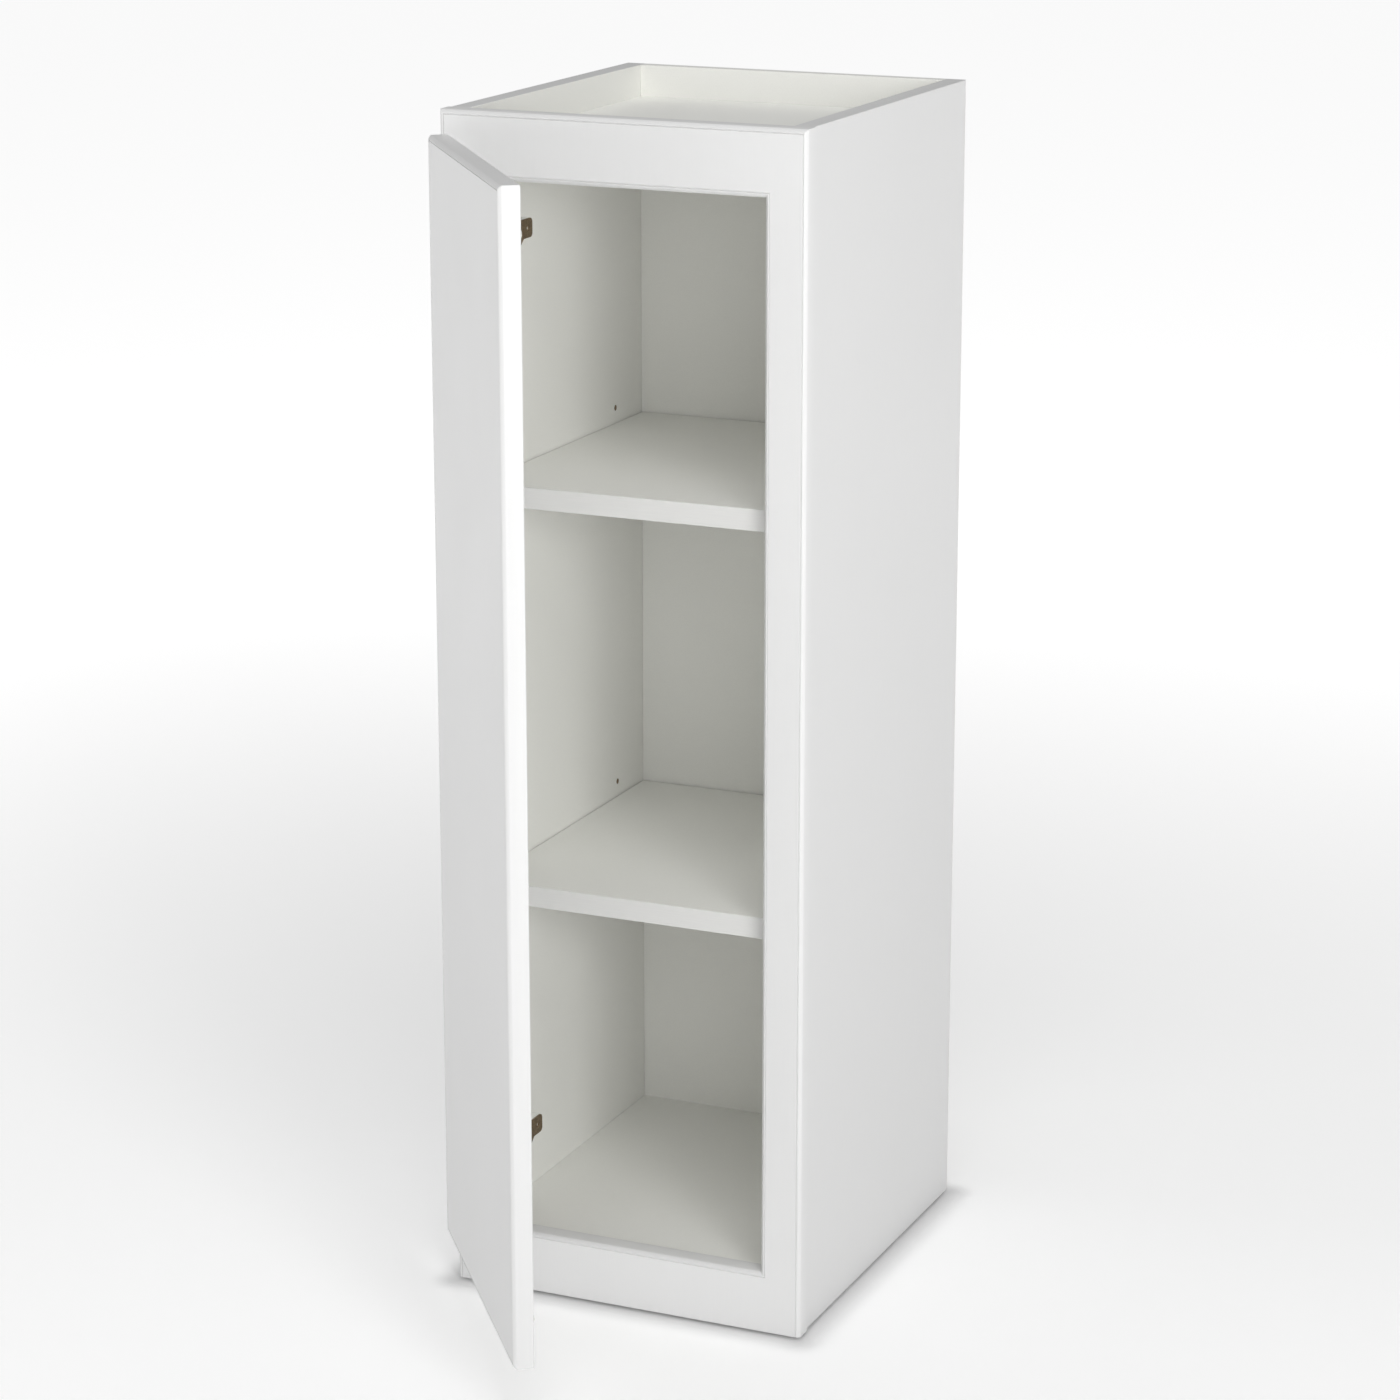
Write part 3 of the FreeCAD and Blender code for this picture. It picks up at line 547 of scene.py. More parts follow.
class Finish:
    """A material under construction: its node tree and its Principled shader."""

    def __init__(self, name, roughness, metallic=0.0):
        self.material = bpy.data.materials.new(name)
        self.material.use_nodes = True
        self.nodes = self.material.node_tree.nodes
        self.links = self.material.node_tree.links
        self.shader = self.nodes["Principled BSDF"]
        self.shader.inputs["Roughness"].default_value = roughness
        self.shader.inputs["Metallic"].default_value = metallic
        self.place = self.nodes.new("ShaderNodeTexCoord").outputs["Object"]

    def stretched(self, scale):
        """Object coordinates multiplied by a scale for each axis."""
        mapping = self.nodes.new("ShaderNodeMapping")
        mapping.inputs["Scale"].default_value = scale
        self.links.new(self.place, mapping.inputs["Vector"])
        return mapping.outputs["Vector"]

    def noise(self, scale, detail=2.0, roughness=0.5, vector=None):
        """Cloudy noise with features of about 1 / scale metres."""
        node = self.nodes.new("ShaderNodeTexNoise")
        node.inputs["Scale"].default_value = scale
        node.inputs["Detail"].default_value = detail
        node.inputs["Roughness"].default_value = roughness
        self.links.new(vector or self.place, node.inputs["Vector"])
        return node.outputs["Fac"]

    def cells(self, scale, vector=None):
        """Distance to the nearest of many scattered points."""
        node = self.nodes.new("ShaderNodeTexVoronoi")
        node.inputs["Scale"].default_value = scale
        self.links.new(vector or self.place, node.inputs["Vector"])
        return node.outputs["Distance"]

    def ramp(self, value, low, high, start=0.3, end=0.7):
        """From the low colour to the high one as the value goes from start to end."""
        node = self.nodes.new("ShaderNodeValToRGB")
        node.color_ramp.elements[0].position = start
        node.color_ramp.elements[1].position = end
        node.color_ramp.elements[0].color = (*low, 1)
        node.color_ramp.elements[1].color = (*high, 1)
        self.links.new(value, node.inputs["Fac"])
        return node.outputs["Color"]

    def between(self, value, low, high, start=0.3, end=0.7):
        """A number from low to high as the value goes from start to end."""
        node = self.nodes.new("ShaderNodeMapRange")
        for socket, number in zip(("From Min", "From Max", "To Min", "To Max"),
                                  (start, end, low, high)):
            node.inputs[socket].default_value = number
        self.links.new(value, node.inputs["Value"])
        return node.outputs["Result"]

    def blend(self, factor, first, second):
        """Two colours mixed by a factor, which is a number or an output."""
        node = self.nodes.new("ShaderNodeMix")
        node.data_type = "RGBA"
        if isinstance(factor, float):
            node.inputs["Factor"].default_value = factor
        else:
            self.links.new(factor, node.inputs["Factor"])
        first_in, second_in = [socket for socket in node.inputs if socket.type == "RGBA"]
        self.links.new(first, first_in)
        self.links.new(second, second_in)
        return [socket for socket in node.outputs if socket.type == "RGBA"][0]

    def bump(self, height, distance):
        """Relief of this height in metres on top of the relief made so far."""
        node = self.nodes.new("ShaderNodeBump")
        node.inputs["Distance"].default_value = distance
        self.links.new(height, node.inputs["Height"])
        normal = self.shader.inputs["Normal"]
        if normal.links:
            self.links.new(normal.links[0].from_socket, node.inputs["Normal"])
        self.links.new(node.outputs["Normal"], normal)

    def colour(self, output):
        """The surface takes its colour from this output."""
        self.links.new(output, self.shader.inputs["Base Color"])

    def gloss(self, output):
        """The surface takes its roughness from this output."""
        self.links.new(output, self.shader.inputs["Roughness"])


def shade(colour, factor):
    """The colour made darker or lighter by a factor."""
    return tuple(min(1.0, channel * factor) for channel in colour)


def satin_paint(colours):
    """Sprayed satin paint: orange peel, faint roller clouds and fine levelling lines."""
    finish = Finish("satin_paint", 0.42)
    clouds = finish.noise(7.0, detail=4.0)
    peel = finish.noise(420.0, detail=1.0)
    lines = finish.noise(60.0, detail=3.0, vector=finish.stretched((9.0, 9.0, 0.35)))
    base = finish.ramp(clouds, shade(colours.paint, 0.985), colours.paint)
    streaked = finish.ramp(lines, shade(colours.paint, 0.985), colours.paint)
    finish.colour(finish.blend(0.5, base, streaked))
    finish.gloss(finish.between(clouds, 0.36, 0.46))
    finish.bump(peel, 0.00006)
    finish.bump(lines, 0.00003)
    finish.shader.inputs["Specular IOR Level"].default_value = 0.45
    return finish.material


def inner_laminate(colours):
    """Melamine-faced board: a fine pebbled press texture and a barely seen fleck."""
    finish = Finish("inner_laminate", 0.5)
    fleck = finish.noise(900.0, detail=2.0)
    clouds = finish.noise(5.0, detail=3.0)
    pebble = finish.cells(1300.0)
    base = finish.ramp(clouds, shade(colours.laminate, 0.98), colours.laminate)
    flecked = finish.ramp(fleck, shade(colours.laminate, 0.955), colours.laminate, 0.35, 0.5)
    finish.colour(finish.blend(0.55, base, flecked))
    finish.gloss(finish.between(fleck, 0.44, 0.56))
    finish.bump(pebble, 0.00005)
    return finish.material


def edge_strip(colours):
    """Plastic edge band with fine scraper lines along it and softer gloss."""
    finish = Finish("edge_strip", 0.4)
    scrapes = finish.noise(80.0, detail=4.0, vector=finish.stretched((0.4, 14.0, 14.0)))
    finish.colour(finish.ramp(scrapes, shade(colours.band, 0.97), colours.band))
    finish.gloss(finish.between(scrapes, 0.32, 0.46))
    finish.bump(scrapes, 0.00003)
    return finish.material


def board_core(colours):
    """Pressed wood chips, light and dark, with resin between."""
    finish = Finish("board_core", 0.85)
    chips = finish.cells(650.0, finish.stretched((1.0, 1.0, 2.6)))
    tint = finish.noise(380.0, detail=5.0, roughness=0.7)
    pale = finish.ramp(chips, shade(colours.core, 1.45), shade(colours.core, 0.6), 0.1, 0.8)
    dark = finish.ramp(tint, shade(colours.core, 0.55), shade(colours.core, 1.25))
    finish.colour(finish.blend(0.5, pale, dark))
    finish.bump(chips, 0.0003)
    return finish.material


def antique_bronze(colours):
    """Stamped steel with a mottled brown bronze plating that is rubbed thin in spots."""
    finish = Finish("antique_bronze", 0.38, metallic=0.9)
    mottle = finish.noise(520.0, detail=5.0, roughness=0.65)
    spots = finish.cells(900.0)
    rubbed = finish.noise(160.0, detail=3.0)
    dark = finish.ramp(mottle, shade(colours.bronze, 0.35), shade(colours.bronze, 1.3))
    worn = finish.ramp(spots, shade(colours.bronze, 1.7), shade(colours.bronze, 0.8), 0.1, 0.6)
    finish.colour(finish.blend(finish.between(rubbed, 0.05, 0.6), dark, worn))
    finish.gloss(finish.between(mottle, 0.28, 0.52))
    finish.bump(mottle, 0.00006)
    return finish.material


def plated(name, colour, roughness):
    """Bright plated steel with fine draw lines and cloudy haze."""
    finish = Finish(name, roughness, metallic=1.0)
    lines = finish.noise(700.0, detail=3.0, vector=finish.stretched((6.0, 6.0, 0.5)))
    haze = finish.noise(240.0, detail=4.0)
    finish.colour(finish.ramp(haze, shade(colour, 0.8), shade(colour, 1.08)))
    finish.gloss(finish.between(lines, roughness - 0.07, roughness + 0.1))
    finish.bump(lines, 0.00001)
    return finish.material


def zinc_plate(colours):
    """Bright zinc of the back panel's screws."""
    return plated("zinc_plate", colours.zinc, 0.3)


def nickel_plate(colours):
    """Smooth nickel of the shelf pins."""
    return plated("nickel_plate", colours.nickel, 0.26)


def beech_wood(colours):
    """Pale beech with growth lines and short dark flecks."""
    finish = Finish("beech_wood", 0.6)
    grain = finish.noise(110.0, detail=6.0, vector=finish.stretched((0.5, 7.0, 7.0)))
    fleck = finish.noise(900.0, detail=2.0, vector=finish.stretched((0.2, 1.0, 1.0)))
    wood = finish.ramp(grain, shade(colours.beech, 0.78), shade(colours.beech, 1.12))
    dots = finish.ramp(fleck, shade(colours.beech, 0.6), colours.beech, 0.3, 0.42)
    finish.colour(finish.blend(0.35, wood, dots))
    finish.bump(grain, 0.0001)
    return finish.material


def clear_pad(colours):
    """Milky soft plastic with a faint haze."""
    finish = Finish("clear_pad", 0.3)
    haze = finish.noise(500.0, detail=3.0)
    finish.colour(finish.ramp(haze, shade(colours.pad, 0.93), colours.pad))
    finish.gloss(finish.between(haze, 0.22, 0.36))
    finish.bump(haze, 0.00004)
    finish.shader.inputs["Subsurface Weight"].default_value = 0.2
    finish.shader.inputs["Subsurface Scale"].default_value = 0.002
    return finish.material


def studio_floor(colours):
    """Matt pale floor that glows softly, as a lit backdrop does; the glow is painted light, which also falls on
    the cabinet.
    Under the cabinet it is dark, a painted contact shadow; the glow grows in the first centimetres round the feet
    and again far away."""
    finish = Finish("studio_floor", 0.8)
    grain = finish.noise(30.0, detail=3.0)
    finish.colour(finish.ramp(grain, shade(colours.floor, 0.995), colours.floor))
    finish.bump(grain, 0.0001)
    studio = bpy.context.scene.cabinet_studio
    distance = distance_from_cabinet(finish)
    glow = finish.between(distance, studio.near_glow, studio.far_glow, *GLOW_REACH)
    # The edge factor is a painted contact shadow: it takes the glow to nothing under the cabinet and lets it grow
    # over the first centimetres round the feet.
    edge = finish.between(distance, 0.0, 1.0, 0.0, SHADOW_REACH)
    for output in (glow, edge):
        output.node.interpolation_type = "SMOOTHSTEP"
    product = finish.nodes.new("ShaderNodeMath")
    product.operation = "MULTIPLY"
    finish.links.new(glow, product.inputs[0])
    finish.links.new(edge, product.inputs[1])
    finish.links.new(product.outputs["Value"], finish.shader.inputs["Emission Strength"])
    finish.shader.inputs["Emission Color"].default_value = (1, 1, 1, 1)
    return finish.material


def distance_from_cabinet(finish):
    """Distance of a floor point from the cabinet's footprint: the length of
    max(|p - middle| - half size, 0), in which the height plays no part."""
    half = cabinet_half_size()
    value = finish.place
    for operation, constant in (("SUBTRACT", cabinet_middle()), ("ABSOLUTE", None),
                                ("SUBTRACT", half), ("MAXIMUM", (0, 0, 0)), ("LENGTH", None)):
        node = finish.nodes.new("ShaderNodeVectorMath")
        node.operation = operation
        finish.links.new(value, node.inputs[0])
        if constant is not None:
            node.inputs[1].default_value = tuple(constant)
        value = node.outputs["Value" if operation == "LENGTH" else "Vector"]
    return value


# None of these names is the name of a CAD material.
FINISHES = (satin_paint, inner_laminate, edge_strip, board_core, antique_bronze, zinc_plate,
            nickel_plate, beech_wood, clear_pad, studio_floor)


def finish_named(name):
    """A finish by name, made the first time it is asked for."""
    made = bpy.data.materials.get(name)
    if made:
        return made
    makers = {maker.__name__: maker for maker in FINISHES}
    return makers[name](bpy.context.scene.cabinet_colours)


# ---------------------------------------------------------------- woodwork


class CABINET_OT_face_frame(bpy.types.Operator):
    """Two stiles and two rails with rounded edges and a quirk that is mitred at the corners"""

    bl_idname = "cabinet.face_frame"
    bl_label = "Face frame"

    def execute(self, context):
        sizes = context.scene.cabinet_woodwork
        left_low, left_high = corners("stile_left")
        right_low, right_high = corners("stile_right")
        sill = corners("rail_bottom")[1][2]
        head = corners("rail_top")[0][2]

        def depth(x, z):
            """Distance to the outer edge is the least of those to the left, right and top
            edges. Distance to the opening is the greater of the sideways and the upright one,
            which mitres the corners. The moulding runs along both."""
            outer = np.minimum(np.minimum(x - left_low[0], right_high[0] - x),
                               left_high[2] - z)
            sideways = np.maximum(left_high[0] - x, x - right_low[0])
            upright = np.maximum(sill - z, z - head)
            inner = np.maximum(sideways, upright)
            return np.maximum(edge_depth(outer, sizes), edge_depth(inner, sizes))

        bands = edge_stations(sizes)
        xs = np.concatenate([left_low[0] + bands, left_high[0] - bands,
                             right_low[0] + bands, right_high[0] - bands])
        zs = np.concatenate([sill - bands, head + bands, left_high[2] - bands])
        for name in ("stile_left", "stile_right", "rail_top", "rail_bottom"):
            low, high = corners(name)
            columns = stations(low[0], high[0], xs)
            rows = stations(low[2], high[2], np.concatenate([zs, [sill, head]]))
            points, faces = faced_board(columns, rows, depth, left_low[1], left_high[1],
                                        sizes.back_arris)
            piece = add_piece(f"{name}_painted", points, faces, [finish_named("satin_paint")])
            settle(piece, "cabinet", "white_paint", name)
        return {"FINISHED"}


class CABINET_OT_carcass(bpy.types.Operator):
    """Side panels with their shelf-pin holes, the top, the bottom and the back"""

    bl_idname = "cabinet.carcass"
    bl_label = "Carcass"

    def execute(self, context):
        sizes = context.scene.cabinet_woodwork
        holes = pin_hole_places()
        for side, facing in (("left", "+x"), ("right", "-x")):
            name = f"side_panel_{side}"
            finishes = [finish_named(kind)
                        for kind in ("inner_laminate", "board_core", "satin_paint")]
            piece = plain_board(f"{name}_board", name, finishes, sizes.board_arris, facing,
                                holes, (sizes.hole_radius, sizes.hole_depth))
            paint_outside(piece, facing)
            settle(piece, "cabinet", "white_paint", name)
        for name, facing in (("top_panel", "z"), ("bottom_panel", "z"), ("back_panel", "y")):
            piece = plain_board(f"{name}_board", name, [finish_named("inner_laminate")],
                                sizes.board_arris, facing)
            settle(piece, "cabinet", "inner_board", name)
        return {"FINISHED"}


def pin_hole_places():
    """Depth and height of every shelf-pin hole: the spare ones are the four corners of the
    record's bolt patterns, and the ones in use are halfway between them in height."""
    places = []
    for mount in frame["record"]["mounts"]:
        if mount["name"].startswith("spare_pin_holes_left"):
            _, y, z = mount["pos_m"]
            across = mount["dims"]["spacing_x_mm"] / 2000
            up = mount["dims"]["spacing_y_mm"] / 2000
            places += [(y + side * across, z + step * up)
                       for side in (-1, 1) for step in (-1, 0, 1)]
    return places


def paint_outside(piece, facing):
    """Give the side panel's outer face and its four edges the paint."""
    mesh = piece.data
    normals = np.empty(len(mesh.polygons) * 3)
    kinds = np.empty(len(mesh.polygons), np.int32)
    mesh.polygons.foreach_get("normal", normals)
    mesh.polygons.foreach_get("material_index", kinds)
    inward = normals.reshape(-1, 3)[:, 0] * (1 if facing == "+x" else -1)
    kinds[(kinds == 0) & (inward < 0.5)] = 2
    mesh.polygons.foreach_set("material_index", kinds)


class CABINET_OT_door(bpy.types.Operator):
    """The slab door, rounded and quirked all round its outer face, at its resting angle"""

    bl_idname = "cabinet.door"
    bl_label = "Door"

    def execute(self, context):
        sizes = context.scene.cabinet_woodwork
        low, high = closed_door_box("door_panel")

        def depth(x, z):
            """The moulding at the least of the distances to the four edges."""
            edge = np.minimum(np.minimum(x - low[0], high[0] - x),
                              np.minimum(z - low[2], high[2] - z))
            return edge_depth(edge, sizes)

        bands = edge_stations(sizes)
        columns = stations(low[0], high[0], np.concatenate([low[0] + bands, high[0] - bands]))
        rows = stations(low[2], high[2], np.concatenate([low[2] + bands, high[2] - bands]))
        points, faces = faced_board(columns, rows, depth, low[1], high[1], sizes.back_arris)
        points = turn_about_pin(points, -OPEN_ANGLE)
        piece = add_piece("door_slab", points, faces, [finish_named("satin_paint")])
        settle(piece, "door", "white_paint", "door_panel")
        return {"FINISHED"}


class CABINET_OT_shelves(bpy.types.Operator):
    """Two shelf boards and the edge bands on their fronts"""

    bl_idname = "cabinet.shelves"
    bl_label = "Shelves"

    def execute(self, context):
        sizes = context.scene.cabinet_woodwork
        for shelf in SHELVES:
            board = plain_board(f"shelf_{shelf}_board", f"shelf_{shelf}",
                                [finish_named("inner_laminate")], sizes.board_arris, "z")
            settle(board, "cabinet", "inner_board", f"shelf_{shelf}")
            band = plain_board(f"shelf_{shelf}_edge", f"shelf_band_{shelf}",
                               [finish_named("edge_strip")], sizes.band_arris, "y")
            settle(band, "cabinet", "edge_band", f"shelf_band_{shelf}")
        return {"FINISHED"}


# ---------------------------------------------------------------- hardware


class CABINET_OT_shelf_pins(bpy.types.Operator):
    """Nickel-plated pins under the shelves"""

    bl_idname = "cabinet.shelf_pins"
    bl_label = "Shelf pins"

    def execute(self, context):
        sizes = context.scene.cabinet_hardware
        for shelf in SHELVES:
            piece = soft_copy(f"shelf_pins_{shelf}", f"shelf_pins_{shelf}_plated",
                              finish_named("nickel_plate"), sizes.leaf_arris)
            settle(piece, "cabinet", "nickel", f"shelf_pins_{shelf}")
        return {"FINISHED"}


class CABINET_OT_hinges(bpy.types.Operator):
    """Hinge leaves on the frame and on the door, their pins and the packing blocks"""

    bl_idname = "cabinet.hinges"
    bl_label = "Hinges"

    def execute(self, context):
        sizes = context.scene.cabinet_hardware
        bronze = finish_named("antique_bronze")
        for hinge in HINGES:
            block = soft_copy(f"hinge_block_{hinge}", f"hinge_block_{hinge}_painted",
                              finish_named("inner_laminate"),
                              context.scene.cabinet_woodwork.board_arris)
            settle(block, "cabinet", "inner_board", f"hinge_block_{hinge}")
            for leaf, body in (("frame", "cabinet"), ("door", "door")):
                piece = soft_copy(f"{leaf}_leaf_{hinge}", f"{leaf}_leaf_{hinge}_plated", bronze,
                                  sizes.leaf_arris)
                settle(piece, body, "bronze", f"{leaf}_leaf_{hinge}")
            piece = hinge_pin(hinge, bronze, sizes.segments)
            settle(piece, "cabinet", "bronze", f"hinge_pin_{hinge}")
        return {"FINISHED"}


def hinge_pin(hinge, material, segments):
    """A turned pin: a round cap, the shank inside the barrel, and a round cap below. The caps
    are half ellipses of the head's radius and height."""
    low, high = corners(f"hinge_pin_{hinge}")
    head = (high[0] - low[0]) / 2
    shank = head / PIN_HEAD_SHARE
    quarter = np.linspace(0, math.pi / 2, 7)
    upper = [(head * math.sin(t), high[2] - shank * (1 - math.cos(t))) for t in quarter]
    lower = [(r, low[2] + high[2] - h) for r, h in upper[::-1]]
    points, faces = turned([*upper, (shank, high[2] - shank), (shank, low[2] + shank), *lower],
                           segments)
    middle = [(low[0] + high[0]) / 2, (low[1] + high[1]) / 2, 0]
    return add_piece(f"hinge_pin_{hinge}_turned", points + middle, faces, [material])


def screw_shape(head, shank, depth, segments):
    """A countersunk screw, its head on z = 0 and its shank down to -depth. The head's top is
    z = -d c(x, y), where c is 1 inside a cross of two bars and falls to 0 across a narrow
    slope; below it the outline goes down the cone and the shank to a point."""
    recess, slope = CROSS_DEPTH * head, CROSS_SLOPE * head
    bar, reach = CROSS_BAR * head, CROSS_REACH * head
    radii = head * HEAD_RINGS
    angles = np.arange(segments) * math.tau / segments
    x, y = np.outer(radii, np.cos(angles)), np.outer(radii, np.sin(angles))
    narrow = np.clip((bar + slope - np.minimum(abs(x), abs(y))) / slope, 0, 1)
    within = np.clip((reach + slope - np.maximum(abs(x), abs(y))) / slope, 0, 1)
    top = np.stack([x, y, -recess * narrow * within], axis=-1)
    cone = head - shank
    below = [(head, -HEAD_RIM * head), (shank, -cone), (shank, -depth + 2 * shank),
             (POINT_SHARE * shank, -depth)]
    under = np.stack([np.outer([r for r, _ in below], np.cos(angles)),
                      np.outer([r for r, _ in below], np.sin(angles)),
                      np.repeat([[h] for _, h in below], segments, axis=1)], axis=-1)
    return wrapped(np.concatenate([top, under]), [0, 0, -recess], [0, 0, -depth])


def frame_turned(outward, spin):
    """A matrix that takes the Z axis to a direction, after turning by spin about Z."""
    towards = np.array(outward, float)
    side = np.cross([0, 0, 1], towards)
    side /= np.linalg.norm(side)
    return np.stack([side, np.cross(towards, side), towards], axis=1) @ upright_turn(spin)


class CABINET_OT_screws(bpy.types.Operator):
    """Cross-recessed screws in the hinges and in the back panel, each turned a little apart"""

    bl_idname = "cabinet.screws"
    bl_label = "Screws"

    def execute(self, context):
        sizes = context.scene.cabinet_hardware
        shape = screw_shape(sizes.screw_head, sizes.screw_shank, sizes.screw_length,
                            sizes.segments)
        groups = (("frame_leaf_screws", "cabinet", "bronze", "antique_bronze",
                   frame_leaf_screw_places(), shape),
                  ("door_leaf_screws", "door", "bronze", "antique_bronze",
                   door_leaf_screw_places(), shape),
                  ("back_screws", "cabinet", "zinc", "zinc_plate", back_screw_places(),
                   screw_shape(sizes.back_screw_head, sizes.back_screw_shank,
                               sizes.back_screw_length, sizes.segments)))
        for node, body, slot, finish, places, (points, faces) in groups:
            moved, numbered = copies(points, faces, places)
            piece = add_piece(f"{node}_turned", moved, numbered, [finish_named(finish)])
            settle(piece, body, slot, node)
        return {"FINISHED"}


def frame_leaf_screw_places():
    """Heads flush with the frame leaf: two over the stile's edge, one over the block."""
    face = corners("frame_leaf_screws")[1][0]
    low, high = corners("stile_left")
    places = []
    for hinge in HINGES:
        middle = hinge_middle(hinge)
        spots = [((low[1] + high[1]) / 2, middle + rise) for rise in STILE_SCREW_RISES]
        spots.append((low[1] + BLOCK_SCREW[0], middle + BLOCK_SCREW[1]))
        for y, z in spots:
            places.append((frame_turned((1, 0, 0), SPIN_STEP * len(places)), (face, y, z)))
    return places


def door_leaf_screw_places():
    """Heads flush with the door leaf, which turns with the door."""
    face = closed_door_box("door_leaf_screws")[1][1]
    places = []
    for hinge in HINGES:
        for reach, rise in DOOR_LEAF_SCREWS:
            spot = np.array([PIN[0] + reach, face, hinge_middle(hinge) + rise])
            places.append(on_open_door(frame_turned((0, 1, 0), SPIN_STEP * len(places)), spot))
    return places


def back_screw_places():
    """Heads flush with the back panel, over the middles of the top and the bottom panel."""
    low, high = corners("back_panel")
    places = []
    for panel in ("bottom_panel", "top_panel"):
        under, over = corners(panel)
        for share in BACK_SCREW_SHARES:
            spot = (low[0] + (high[0] - low[0]) * share, high[1], (under[2] + over[2]) / 2)
            places.append((frame_turned((0, 1, 0), SPIN_STEP * len(places)), spot))
    return places


class CABINET_OT_bumpers(bpy.types.Operator):
    """Domed soft pads on the door's back"""

    bl_idname = "cabinet.bumpers"
    bl_label = "Bumpers"

    def execute(self, context):
        low, high = closed_door_box("door_bumpers")
        radius = (high[0] - low[0]) / 2
        thick = high[1] - low[1]
        segments = context.scene.cabinet_hardware.segments
        points, faces = turned(dome_profile(radius, thick), segments)
        places = [on_open_door(frame_turned((0, 1, 0), 0),
                               np.array([low[0] + radius, low[1], z]))
                  for z in (low[2] + radius, high[2] - radius)]
        moved, numbered = copies(points, faces, places)
        piece = add_piece("door_bumpers_moulded", moved, numbered, [finish_named("clear_pad")])
        settle(piece, "door", "soft_pad", "door_bumpers")
        return {"FINISHED"}


def dome_profile(radius, thick):
    """From the top down: a quarter ellipse (r sin t, rim + (thick - rim) cos t), a short upright
    rim, a small chamfer and a flat base."""
    rim = PAD_RIM * thick
    arc = np.linspace(0, math.pi / 2, 10)
    dome = [(radius * math.sin(t), rim + (thick - rim) * math.cos(t)) for t in arc]
    chamfer = PAD_CHAMFER * radius
    return [*dome, (radius, chamfer), (radius - chamfer, 0), (0, 0)]


class CABINET_OT_dowels(bpy.types.Operator):
    """Beech for the dowels inside the joints, whose CAD shapes are kept"""

    bl_idname = "cabinet.dowels"
    bl_label = "Dowels"

    def execute(self, context):
        for name in ("rail_dowels", "frame_dowels", "carcass_dowels"):
            slot = frame["nodes"][name].material_slots[0]
            slot.link = "OBJECT"
            slot.material = finish_named("beech_wood")
        return {"FINISHED"}


# ---------------------------------------------------------------- studio


class CABINET_OT_stage(bpy.types.Operator):
    """Pale floor, soft studio lights and the camera"""

    bl_idname = "cabinet.stage"
    bl_label = "Stage"

    def execute(self, context):
        scene = context.scene
        add_floor()
        add_room_light(scene)
        add_camera(scene)
        for name in LIGHTS:
            add_light(scene, name)
        scene.view_settings.view_transform = "Standard"
        return {"FINISHED"}


def cabinet_box():
    """Lowest and highest corner of the cabinet's body, without the door."""
    low = corners("stile_left")[0]
    return low, np.maximum(corners("back_panel")[1], corners("stile_right")[1])


def cabinet_middle():
    """Middle of the cabinet's body."""
    low, high = cabinet_box()
    return (low + high) / 2


def cabinet_half_size():
    """Half the size of the cabinet's body. Its height reaches below the lowered floor."""
    low, high = cabinet_box()
    return (high - low) / 2 + [0, 0, bpy.context.scene.cabinet_studio.floor_drop]


def add_floor():
    """A level disc of rings that grow wider outwards: radius R s^2 at the share s."""
    level = -bpy.context.scene.cabinet_studio.floor_drop
    radii = FLOOR_RADIUS * np.linspace(0, 1, 25)[1:] ** 2
    angles = np.arange(72) * math.tau / 72
    rings = np.stack([np.outer(radii, np.cos(angles)), np.outer(radii, np.sin(angles)),
                      np.full((len(radii), len(angles)), level)], axis=-1)
    points, faces = wrapped(rings, [0, 0, level])
    add_piece("studio_floor", points, faces, [finish_named("studio_floor")])


def add_room_light(scene):
    """An even white world."""
    world = bpy.data.worlds.new("room_light")
    world.use_nodes = True
    background = world.node_tree.nodes["Background"]
    background.inputs["Color"].default_value = (1, 1, 1, 1)
    background.inputs["Strength"].default_value = scene.cabinet_studio.room_light
    scene.world = world


def add_camera(scene):
    """The camera looks at its target from the given angles."""
    studio = scene.cabinet_studio
    data = bpy.data.cameras.new("camera")
    data.lens = studio.lens
    data.sensor_width = CAMERA_SENSOR
    camera = bpy.data.objects.new("camera", data)
    across = math.cos(studio.elevation) * studio.distance
    offset = np.array([math.sin(studio.azimuth) * across, -math.cos(studio.azimuth) * across,
                       math.sin(studio.elevation) * studio.distance])
    camera.location = cabinet_middle() + np.array(studio.target_offset) + offset
    camera.rotation_euler = (math.pi / 2 - studio.elevation, 0, studio.azimuth)
    scene.collection.objects.link(camera)
    scene.camera = camera


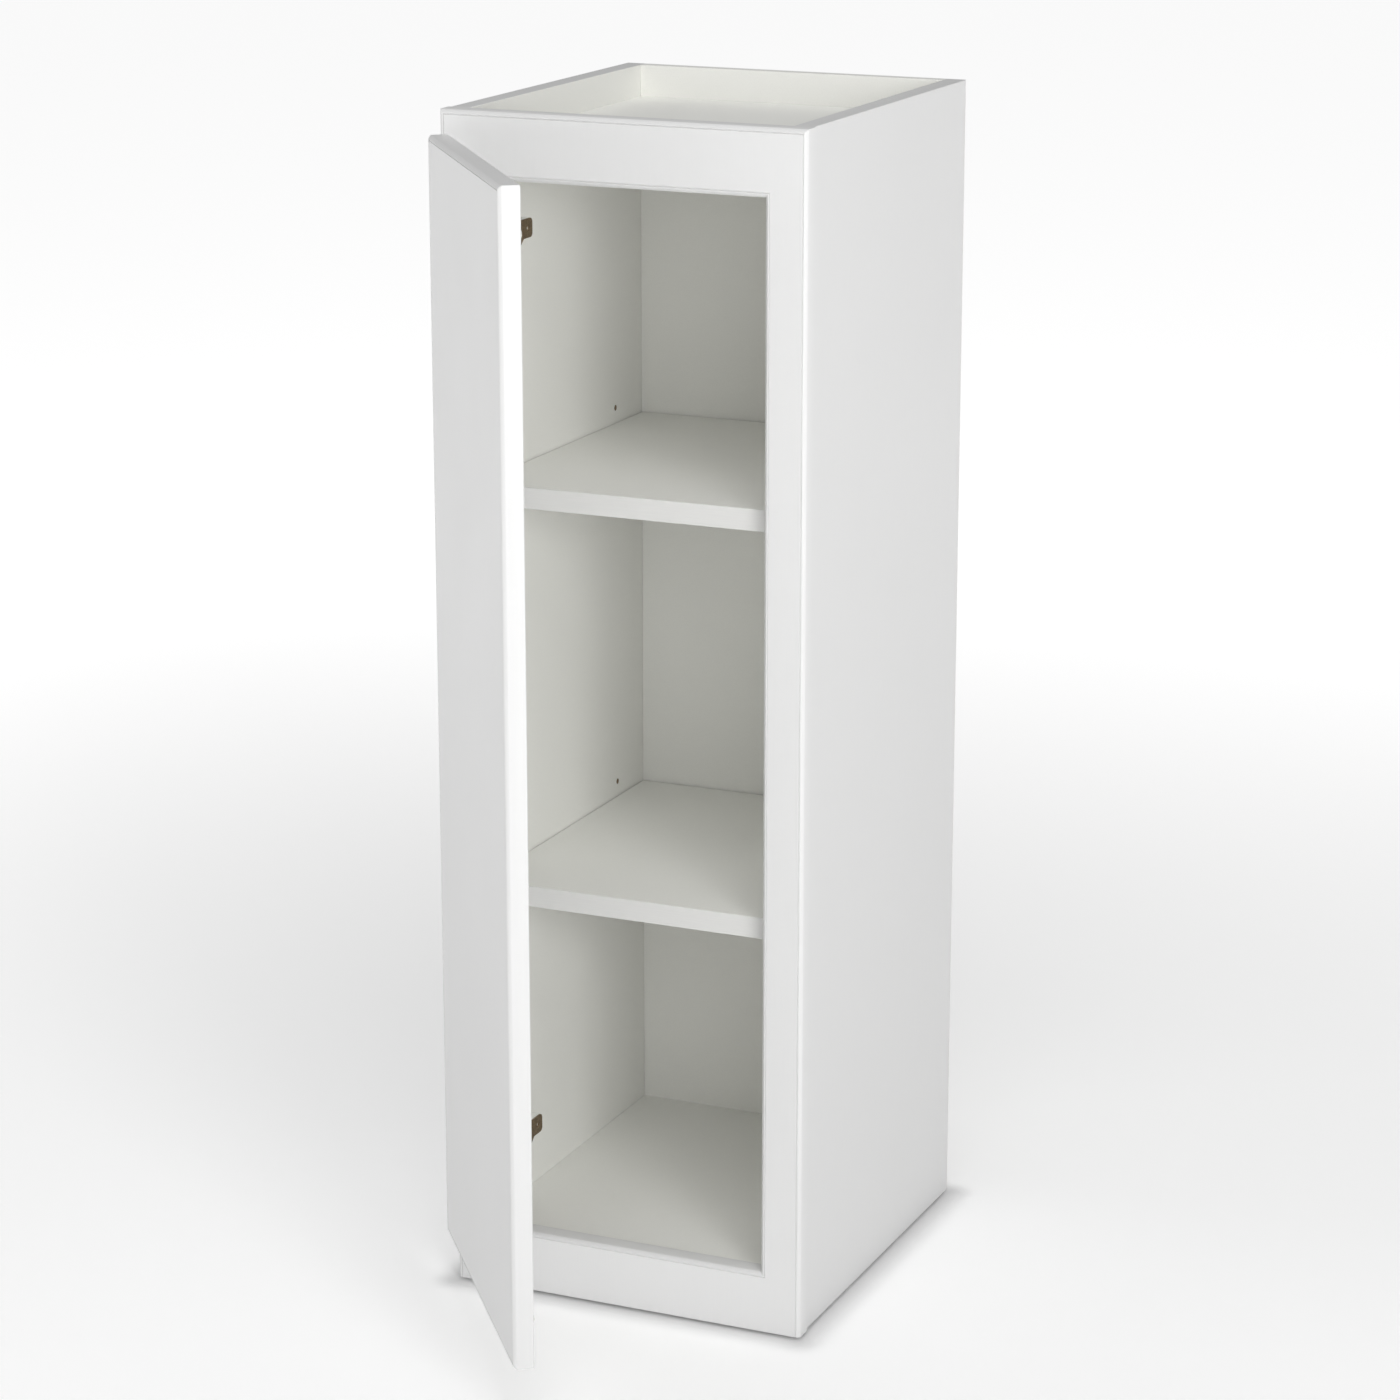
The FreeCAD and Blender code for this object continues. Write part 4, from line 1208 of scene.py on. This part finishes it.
def add_light(scene, name):
    """A square soft light that faces the middle of the cabinet."""
    settings = scene.cabinet_lights
    offset = np.array(getattr(settings, f"{name}_offset"))
    data = bpy.data.lights.new(f"{name}_light", "AREA")
    data.shape = "SQUARE"
    data.size = getattr(settings, f"{name}_side")
    data.energy = getattr(settings, f"{name}_power")
    light = bpy.data.objects.new(f"{name}_light", data)
    light.location = cabinet_middle() + offset
    tilt = math.acos(offset[2] / np.linalg.norm(offset))
    light.rotation_euler = (tilt, 0, math.atan2(offset[0], -offset[1]))
    scene.collection.objects.link(light)


# ---------------------------------------------------------------- add-on


BUILD_ORDER = (
    CABINET_OT_face_frame,
    CABINET_OT_carcass,
    CABINET_OT_door,
    CABINET_OT_shelves,
    CABINET_OT_shelf_pins,
    CABINET_OT_hinges,
    CABINET_OT_screws,
    CABINET_OT_bumpers,
    CABINET_OT_dowels,
    CABINET_OT_stage,
)


class CABINET_PT_build(bpy.types.Panel):
    """Lists the settings and the operators that build the cabinet"""

    bl_idname = "CABINET_PT_build"
    bl_label = "Face-frame cabinet"
    bl_space_type = "VIEW_3D"
    bl_region_type = "UI"
    bl_category = "Cabinet"

    def draw(self, context):
        for group, kind in SETTING_GROUPS.items():
            box = self.layout.box()
            for name in kind.__annotations__:
                box.prop(getattr(context.scene, group), name)
        for operator in BUILD_ORDER:
            self.layout.operator(operator.bl_idname)


def register():
    """Make the settings, the operators and the panel known."""
    for group, kind in SETTING_GROUPS.items():
        bpy.utils.register_class(kind)
        setattr(bpy.types.Scene, group, PointerProperty(type=kind))
    for kind in (*BUILD_ORDER, CABINET_PT_build):
        bpy.utils.register_class(kind)


def unregister():
    """Take everything back that register made known."""
    for kind in (CABINET_PT_build, *BUILD_ORDER[::-1]):
        bpy.utils.unregister_class(kind)
    for group, kind in SETTING_GROUPS.items():
        delattr(bpy.types.Scene, group)
        bpy.utils.unregister_class(kind)


def main():
    """Build every group of pieces in order."""
    register()
    for operator in BUILD_ORDER:
        group, name = operator.bl_idname.split(".")
        getattr(getattr(bpy.ops, group), name)()


if __name__ == "__main__":
    main()
